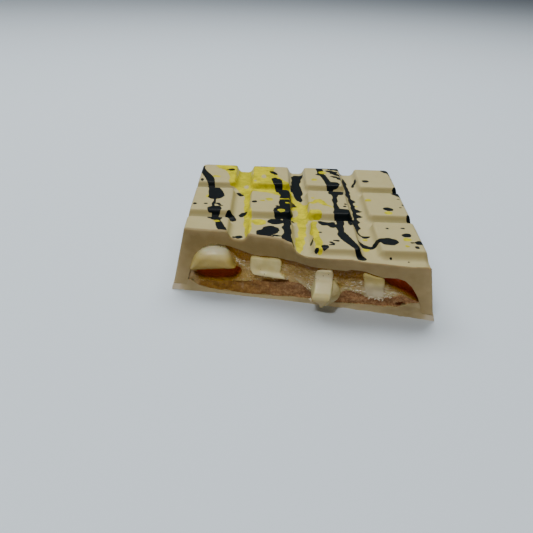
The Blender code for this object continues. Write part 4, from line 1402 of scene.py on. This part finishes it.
def gel_section():
    """Section of the gel's room: the shell's inner outline above, the wafer's top below."""
    upper = [(x - math.copysign(0.02, x), z + 0.05) for x, z in SHELL_INNER if z > 5.2]
    lower = [(x, z - 0.1) for x, z in WAFER_TOP]
    return upper + lower[::-1]


middle = torn_relief(np.array([0.0]), np.array([10.0]))
print("at the middle of the face the gel lies", round(float(middle[0]), 2), "mm behind the break")

# %% [markdown]
# ## Finish of the gel
# The clear amber turns a red brown in the hollows, partly the gel's own colour where it lies thick and
# partly painted shade. Painted shade also darkens a crown just under the shell and the rims of the
# hollows. The gel is paler near the wafer, and milky where cream was smeared into it. Small pale flecks
# painted in as glints, with a low roughness, give the wet sparkle. The mesh stores four numbers for
# this: how far behind the break a point lies, how creamy it is, how much painted shade it has, and how
# near the wafer it lies.

# %% Moist gel
AMBER = (0.62, 0.455, 0.12)
AMBER_DARK = (0.33, 0.19, 0.015)
AMBER_PALE = (0.76, 0.62, 0.29)
# Painted shade under the shell and round the rims of the hollows; its width under the shell varies with x
CROWN_SHADE = (0.28, 0.145, 0.002)
GEL_FILM = (0.52, 0.41, 0.22)
# Red browns of the two hollows: the thick gel's own colour together with painted shade
POCKET_RED_SHADE = (0.60, 0.13, 0.004)
RECESS_RED_SHADE = (0.46, 0.07, 0.001)
SMEARED_CREAM = (0.88, 0.85, 0.60)
PAINTED_GLINT = (0.97, 0.94, 0.86)
CREAM_SHARE = [(-19.5, 0.0), (-16.0, 0.35), (-12.0, 0.4), (2.0, 0.6), (8.0, 1.0)]
CROWN_SHADE_WIDTH = [(-22.0, 1.4), (-17.0, 3.0), (-13.0, 1.8), (4.0, 1.4), (9.0, 2.8), (17.0, 3.2), (30.0, 1.6)]
PALE_SHARE = [(-19.5, 0.0), (-16.0, 0.5), (-8.0, 0.4), (-4.0, 1.0), (8.0, 1.0)]


def moist_gel():
    finish = Finish("moist_lemon_gel")
    depth = finish.attribute("depth")
    clouds = finish.cloud(2.0, 3.0)
    grain = finish.cloud(0.45, 3.0, 0.6)
    amber = finish.blend(grain.rise(0.35, 0.65), AMBER_DARK, AMBER)
    low = finish.attribute("low")
    amber = finish.blend(low * (0.5 + clouds * 0.5), amber, AMBER_PALE)
    crown_shade = finish.attribute("crown_shade")
    amber = finish.blend(crown_shade, amber, CROWN_SHADE)
    film = finish.across("X").rise(-29.0, -31.5)
    amber = finish.blend(film * 0.85, amber, GEL_FILM)
    # Painted shade deepens the hollows to red brown, with the thick gel's own colour
    deep = finish.blend(finish.across("X").rise(12.0, 22.0), POCKET_RED_SHADE, RECESS_RED_SHADE)
    colour = finish.blend(depth.rise(0.8, 3.0), amber, deep)
    streaks = finish.cloud(1.0, 5.0, 0.6, finish.stretched(1.5, 1.0, 0.35)).rise(0.44, 0.6)
    cream = finish.attribute("cream")
    colour = finish.blend(cream * (0.2 + streaks * 0.8) * (1 - crown_shade), colour, SMEARED_CREAM)
    # Painted glints: pale flecks in patches, most near the wafer and none in the crown's shade
    glint_flecks = finish.cells(0.55, finish.stretched(1.3, 1.0, 0.8)).rise(0.36, 0.20)
    glint_patches = finish.cloud(1.6, 2.0).rise(0.46, 0.58) * (0.25 + low * 0.75) * (1 - crown_shade)
    colour = finish.blend(glint_flecks * glint_patches, colour, PAINTED_GLINT)
    height = grain * 0.5 + finish.cells(0.5) * 0.5
    finish.glow(0.3, (1.0, 0.45, 0.1), 2.5)
    return finish.done(Base_Color=colour, Roughness=0.07 + clouds * 0.1, IOR=1.40,
                       Specular_IOR_Level=0.3, Normal=finish.relief(height, 0.26))


def creaminess(x, z):
    """Cream in the gel: by the ropes, round the fourth's foot, and in streaks, one partly painted glints.
    """
    gaps = [section_distance(x, z, outline) for outline in ROPES.values()]
    closest = np.minimum.reduce(gaps)
    by_foot = np.where(z < 9.5, gaps[-1], closest)
    cream = np.maximum(fade(closest, 0.8), fade(by_foot - 1.0, 1.2)) * graded(x, CREAM_SHARE)
    for streak in CREAM_AND_GLINT_STREAKS:
        gap = streak_distance(np.stack([x, z], axis=1), through(streak, 3))
        cream = np.maximum(cream, 0.9 * fade(gap, 0.5))
    return cream


def crown_shade_share(x, z):
    """The painted shade: a dark band under the shell and dark rims round the two hollows."""
    under_shell = np.abs(section_distance(x, z, SHELL_INNER))
    by_pocket = section_distance(x, z, POCKET)
    by_recess = section_distance(x, z, RECESS, smooth=False)
    rims = np.maximum(fade(by_pocket, 0.5), fade(by_recess, 0.5))
    return np.maximum(fade(under_shell - graded(x, CROWN_SHADE_WIDTH), 0.6), rims)


def store_gel_tones():
    """Stores depth, creaminess, painted shade and nearness to the wafer at each point of the gel."""
    x, y, z = places(gel).T
    beside_first = (section_distance(x, z, ROPES["ganache_1"]) < 1.8) & (z > 9.5)
    behind = np.clip(y - break_y(x, z), 0.0, 8.0)
    store(gel, "depth", behind * np.where(beside_first, 0.3, 1.0))
    store(gel, "cream", creaminess(x, z))
    store(gel, "crown_shade", crown_shade_share(x, z))
    over_wafer = z - graded(x, WAFER_TOP)
    store(gel, "low", fade(over_wafer - 2.0, 1.5) * graded(x, PALE_SHARE))


GEL = moist_gel()
gel = to_object(prism(gel_section(), -BEYOND_FRONT, LAYER_BACK), "lemon_gel_filling", (GEL,))
gel_tear = break_cutter("gel_tear", LAYER_SPAN, GEL_TALL, GEL_STEP, torn_relief)
carve(gel, (gel_tear, "DIFFERENCE"))
store_gel_tones()
finish_piece(gel, "lemon_gel", crease=50)

# %% [markdown]
# ## Finish of the ganache
# Vanilla ganache is a soft, pale cream with a slight sheen and fine dark specks of vanilla. It looks
# warmer round its rim, where it thins out against the gel. Each rope also stores a warm share and a
# whiteness by height: the warm share is painted shade low on the first rope's dome, and darkens the
# fourth's top; the whiteness is a painted highlight on the dome's top, painted light on the second and
# third ropes, and real white cream at the fourth's foot. Light that sinks in a little makes it look
# soft, which a plain pale colour doesn't.

# %% Vanilla ganache
CREAM = (0.93, 0.89, 0.46)
CREAM_DUSKY = (0.88, 0.83, 0.38)
# The warm tone is the rim's thin film and painted shade; the pale one is painted highlight and light, and
# real cream at the fourth rope's foot
CREAM_FILM_AND_SHADE = (0.58, 0.45, 0.07)
CREAM_WHITE_HIGHLIGHT = (0.96, 0.94, 0.68)
VANILLA = (0.06, 0.03, 0.012)


def vanilla_ganache():
    finish = Finish("vanilla_ganache")
    clouds = finish.cloud(2.5, 3.0).rise(0.3, 0.7)
    cream = finish.blend(clouds, CREAM, CREAM_DUSKY)
    cream = finish.blend(finish.attribute("warmth_and_shade"), cream, CREAM_FILM_AND_SHADE)
    cream = finish.blend(finish.attribute("white_and_highlight"), cream, CREAM_WHITE_HIGHLIGHT)
    specks = finish.cells(1.5).rise(0.07, 0.13)
    sparse = finish.cloud(3.5, 2.0).rise(0.48, 0.56)
    colour = finish.blend((1 - specks) * sparse * 0.85, cream, VANILLA)
    height = finish.cloud(0.8, 4.0) * 0.6 + finish.cloud(0.25, 2.0) * 0.4
    finish.glow(0.3, (1.0, 0.7, 0.35), 2.0)
    return finish.done(Base_Color=colour, Roughness=0.34 + clouds * 0.12, Coat_Weight=0.35,
                       Coat_Roughness=0.22, Normal=finish.relief(height, 0.10))


GANACHE = vanilla_ganache()
print(GANACHE.name, len(GANACHE.node_tree.nodes), "nodes")

# %% [markdown]
# ## Ganache pulled over the face
# The break pulled soft ganache out over the layers below: the second rope has a low skirt, and the
# third a tongue that hangs down, with a smear beside it that slopes back to the face. Each is a flat
# outline made solid, sliced at a few heights, and each slice is set to stand out as far as the real one
# does there. That follows the leaning face, which a shape modelled on its own wouldn't.

# %% Skirt, tongue and smear
GANACHE_BACK = LAYER_BACK - ROPE_END_MARGIN
TONGUE = [(4.1, 13.6), (3.6, 9.4), (3.3, 7.9), (2.9, 6.1), (3.1, 4.9), (4.5, 4.3), (5.3, 3.4), (5.3, 2.2),
          (6.2, 2.3), (6.6, 3.3), (7.7, 5.6), (7.9, 7.0), (8.3, 8.4), (8.5, 10.5), (8.2, 13.8)]
TONGUE_FRONTS = [(2.2, 4.7, 0.0), (3.4, 5.0, 0.0), (4.5, 5.3, 0.0), (5.8, 5.6, 0.0), (6.8, 5.4, 0.0),
                 (7.8, 4.6, 0.0), (9.4, 2.4, 0.0), (10.4, 1.2, 0.0), (11.4, 0.5, 0.0), (12.4, 0.3, 0.0),
                 (13.8, 0.1, 0.0)]
SMEAR_RIGHT = 11.2
SMEAR = [(6.6, 4.2), (7.4, 3.3), (8.8, 3.5), (10.4, 3.9), (11.0, 4.9), (11.2, 6.2), (10.8, 7.6),
         (9.9, 9.2), (8.7, 10.3), (6.8, 8.4)]
SMEAR_FRONTS = [(3.0, 0.7, 1.1), (6.5, 0.4, 1.1), (8.0, 0.3, 0.8), (9.4, 0.2, 0.45), (10.4, 0.1, 0.2)]
SKIRT = [(-14.2, 9.6), (-14.1, 8.7), (-13.4, 8.1), (-10.6, 7.8), (-7.7, 7.6), (-5.6, 7.9), (-4.5, 8.3),
         (-5.0, 8.9), (-6.2, 9.3), (-9.0, 9.0), (-12.0, 9.3)]
SKIRT_FRONTS = [(7.5, 0.6, 0.0), (8.2, 1.2, 0.0), (9.5, 0.5, 0.0)]
SLICE = 0.8


def over_face(outline, fronts, into, right=0.0):
    """A shape laid over the broken face.

    fronts gives, at some heights, how far it stands out and how much more for each millimetre left of
    a place on its right.
    """
    bm = prism(through(outline, 3, closed=True), -1.0, 1.0)
    heights, outs, slopes = zip(*fronts)
    for height in fine_lines(heights, SLICE)[1:-1]:
        whole = bm.verts[:] + bm.edges[:] + bm.faces[:]
        bmesh.ops.bisect_plane(bm, geom=whole, plane_co=(0, 0, height), plane_no=(0, 0, 1))
    for vert in bm.verts:
        face = float(break_y(vert.co.x, max(vert.co.z, 0.0)))
        out = float(np.interp(vert.co.z, heights, outs))
        out += float(np.interp(vert.co.z, heights, slopes)) * max(right - vert.co.x, 0.0)
        vert.co.y = face - out if vert.co.y < 0 else face + into
    return to_object(bm, "over_face")


skirt = over_face(SKIRT, SKIRT_FRONTS, 0.8)
tongue = over_face(TONGUE, TONGUE_FRONTS, 0.8)
smear = over_face(SMEAR, SMEAR_FRONTS, 0.9, SMEAR_RIGHT)
print("the tongue stands out", max(out for _, out, _ in TONGUE_FRONTS), "mm in front of the face")

# %% [markdown]
# ## The ganache ropes
# Four piped ropes of ganache run along the bar, one under each column. A snap leaves soft ganache
# rounded: the first rope ends in a dome, the second and third in blocks, and the fourth is smeared into
# the gel. Each is a prism with a rounded face cut on it, joined to what hangs over the face. A voxel
# remesh and a little smoothing then melt the edges together, which would be hard to do by bevels.

# %% The four ropes
ROPE_STEP = 0.3
MELT_VOXEL = 0.24
MELT_ROUNDS = 5
SMEAR_WARMTH = 0.12


def dome_relief(outline, fronts, top_round, foot_round, turn_z):
    """A rope's face, which stands out as fronts says and turns back to its outline over a radius.

    The radius grows from foot_round at turn_z to top_round above it.
    """
    heights, outs = zip(*fronts)

    def relief(x, z):
        inside_by = np.maximum(-section_distance(x, z, outline), 0.0)
        radius = foot_round + (top_round - foot_round) * np.clip((z - turn_z) / 4.0, 0.0, 1.0)
        share = np.clip(inside_by / radius, 0.0, 1.0)
        rounding = radius * (1 - np.sqrt(1 - (1 - share) ** 2))
        return rounding - np.interp(z, heights, outs) + 0.18 * lumps(x, z, size=2.2, seed=30.0)
    return relief


def melt(obj, voxel, rounds):
    """Remeshes and smooths an object until its edges look melted."""
    remesh = obj.modifiers.new("remesh", "REMESH")
    remesh.mode = "VOXEL"
    remesh.voxel_size = voxel * MM
    soften = obj.modifiers.new("soften", "SMOOTH")
    soften.iterations = rounds
    soften.factor = 0.5
    settle(obj)


def store_rope_tones(made, outline, film, tints_and_light):
    """Warms a rope's rim and smear; tints_and_light gives painted shade, painted light and real whiteness.
    """
    x, _, z = places(made).T
    rim = -section_distance(x, z, outline)
    foot = min(height for _, height in outline) + 1.5
    edge_film = 0.6 * np.clip(1 - rim / film, 0.0, 1.0) * np.clip((z - foot) / 2.0, 0.0, 1.0)
    heights, warmth_and_shade, white_and_highlight = zip(*tints_and_light)
    over_gel = SMEAR_WARMTH * (rim < -0.3) * (x > 8.6) * (x < 14.0)
    store(made, "warmth_and_shade", np.maximum(edge_film, np.interp(z, heights, warmth_and_shade)) + over_gel)
    store(made, "white_and_highlight", np.interp(z, heights, white_and_highlight))


def rope(node, fronts, top_round, foot_round, turn_z, film, tints_and_light, laid_over=()):
    """One rope, with the shapes that are laid over its face joined to it."""
    outline = ROPES[node]
    body = prism(through(outline, 3, closed=True), -BEYOND_FRONT, GANACHE_BACK)
    made = to_object(body, node.replace("ganache", "ganache_rope"), (GANACHE,))
    xs, zs = zip(*outline)
    relief = dome_relief(outline, fronts, top_round, foot_round, turn_z)
    cutter = break_cutter("rope_snap", [min(xs) - 1, max(xs) + 1], [min(zs) - 1, max(zs) + 1], ROPE_STEP,
                          relief)
    carve(made, (cutter, "DIFFERENCE"), *[(shape, "UNION") for shape in laid_over])
    melt(made, MELT_VOXEL, MELT_ROUNDS)
    store_rope_tones(made, outline, film, tints_and_light)
    finish_piece(made, node, crease=60)


# Rows of tints_and_light are height, warm share and whiteness: painted shade low on the first dome,
# a painted highlight on its top, painted light on ropes two and three, real cream at the fourth's foot
rope("ganache_1", top_round=2.6, foot_round=0.8, turn_z=8.0, film=0.4,
     fronts=[(7.0, 0.8), (9.5, 1.9), (12.0, 2.2), (13.5, 1.8), (14.6, 1.0), (15.7, -0.2)],
     tints_and_light=[(8.0, 0.9, 0.0), (11.5, 0.75, 0.0), (13.2, 0.35, 0.15), (14.4, 0.0, 0.9)])
rope("ganache_2", top_round=0.6, foot_round=0.5, turn_z=9.0, film=0.7, fronts=[(7.0, 0.5)],
     tints_and_light=[(8.0, 0.0, 0.3), (10.0, 0.1, 0.0)], laid_over=[skirt])
rope("ganache_3", top_round=0.5, foot_round=0.5, turn_z=9.0, film=0.7, fronts=[(7.0, 0.3)],
     tints_and_light=[(7.5, 0.0, 0.1), (10.0, 0.0, 0.3), (11.5, 0.0, 0.8), (13.0, 0.0, 0.5)],
     laid_over=[tongue, smear])
rope("ganache_4", top_round=0.3, foot_round=0.4, turn_z=9.0, film=0.8, fronts=[(7.0, 0.1)],
     tints_and_light=[(7.0, 0.0, 1.0), (9.5, 0.0, 0.6), (11.0, 0.3, 0.0), (12.5, 0.6, 0.0)])

# %% [markdown]
# ## Shreds of cream
# Where the tongue and the fourth rope tore off, small flat shreds of ganache stick to the gel and the
# wafer. Squashed icospheres of a few faces each are enough for them, scattered by a seeded generator
# in the places where the shreds show. Each place has a middle, a spread both ways, a count, and how
# far in front of the face its shreds lie.

# %% Cream flakes
FLAKE_PLACES = [
    (21.4, 5.3, 2.3, 0.5, 26, 0.15), (24.0, 7.0, 1.2, 0.9, 14, 0.1), (16.2, 6.9, 1.6, 0.6, 12, 0.1),
    # The shreds at x -17.3 are partly a painted row of glints, drawn as flecks of cream
    (1.8, 7.0, 1.0, 1.0, 7, 0.15), (14.5, 9.8, 2.4, 0.9, 7, 0.1), (-17.3, 11.3, 1.2, 1.0, 9, 0.1),
    (2.5, 5.6, 0.3, 0.9, 6, 5.0),
]
FLAKE_COLOUR = (0.95, 0.92, 0.74)
FLAKE_THICKNESS = 0.16


def cream_flakes():
    """Small flat shreds of ganache left on the gel and the wafer where the break tore it."""
    chance = random.Random(41)
    bm = bmesh.new()
    for middle_x, middle_z, spread_x, spread_z, count, out in FLAKE_PLACES:
        for _ in range(count):
            x = middle_x + chance.uniform(-spread_x, spread_x)
            z = middle_z + chance.uniform(-spread_z, spread_z)
            length = chance.uniform(0.2, 0.6)
            flat = Matrix.Diagonal((length, FLAKE_THICKNESS, length * chance.uniform(0.2, 0.4), 1.0))
            turn = Matrix.Rotation(chance.uniform(-1.2, 1.2), 4, "Y")
            turn = turn @ Matrix.Rotation(chance.uniform(-0.6, 0.6), 4, "Z")
            spot = Matrix.Translation((x, float(break_y(x, z)) - out, z))
            bmesh.ops.create_icosphere(bm, subdivisions=1, radius=1.0, matrix=spot @ turn @ flat)
    finish = Finish("white_cream_flakes")
    shreds = finish.done(Base_Color=FLAKE_COLOUR, Roughness=0.35)
    flakes = to_object(bm, "cream_flakes", (shreds,))
    finish_piece(flakes, None, crease=60)


cream_flakes()
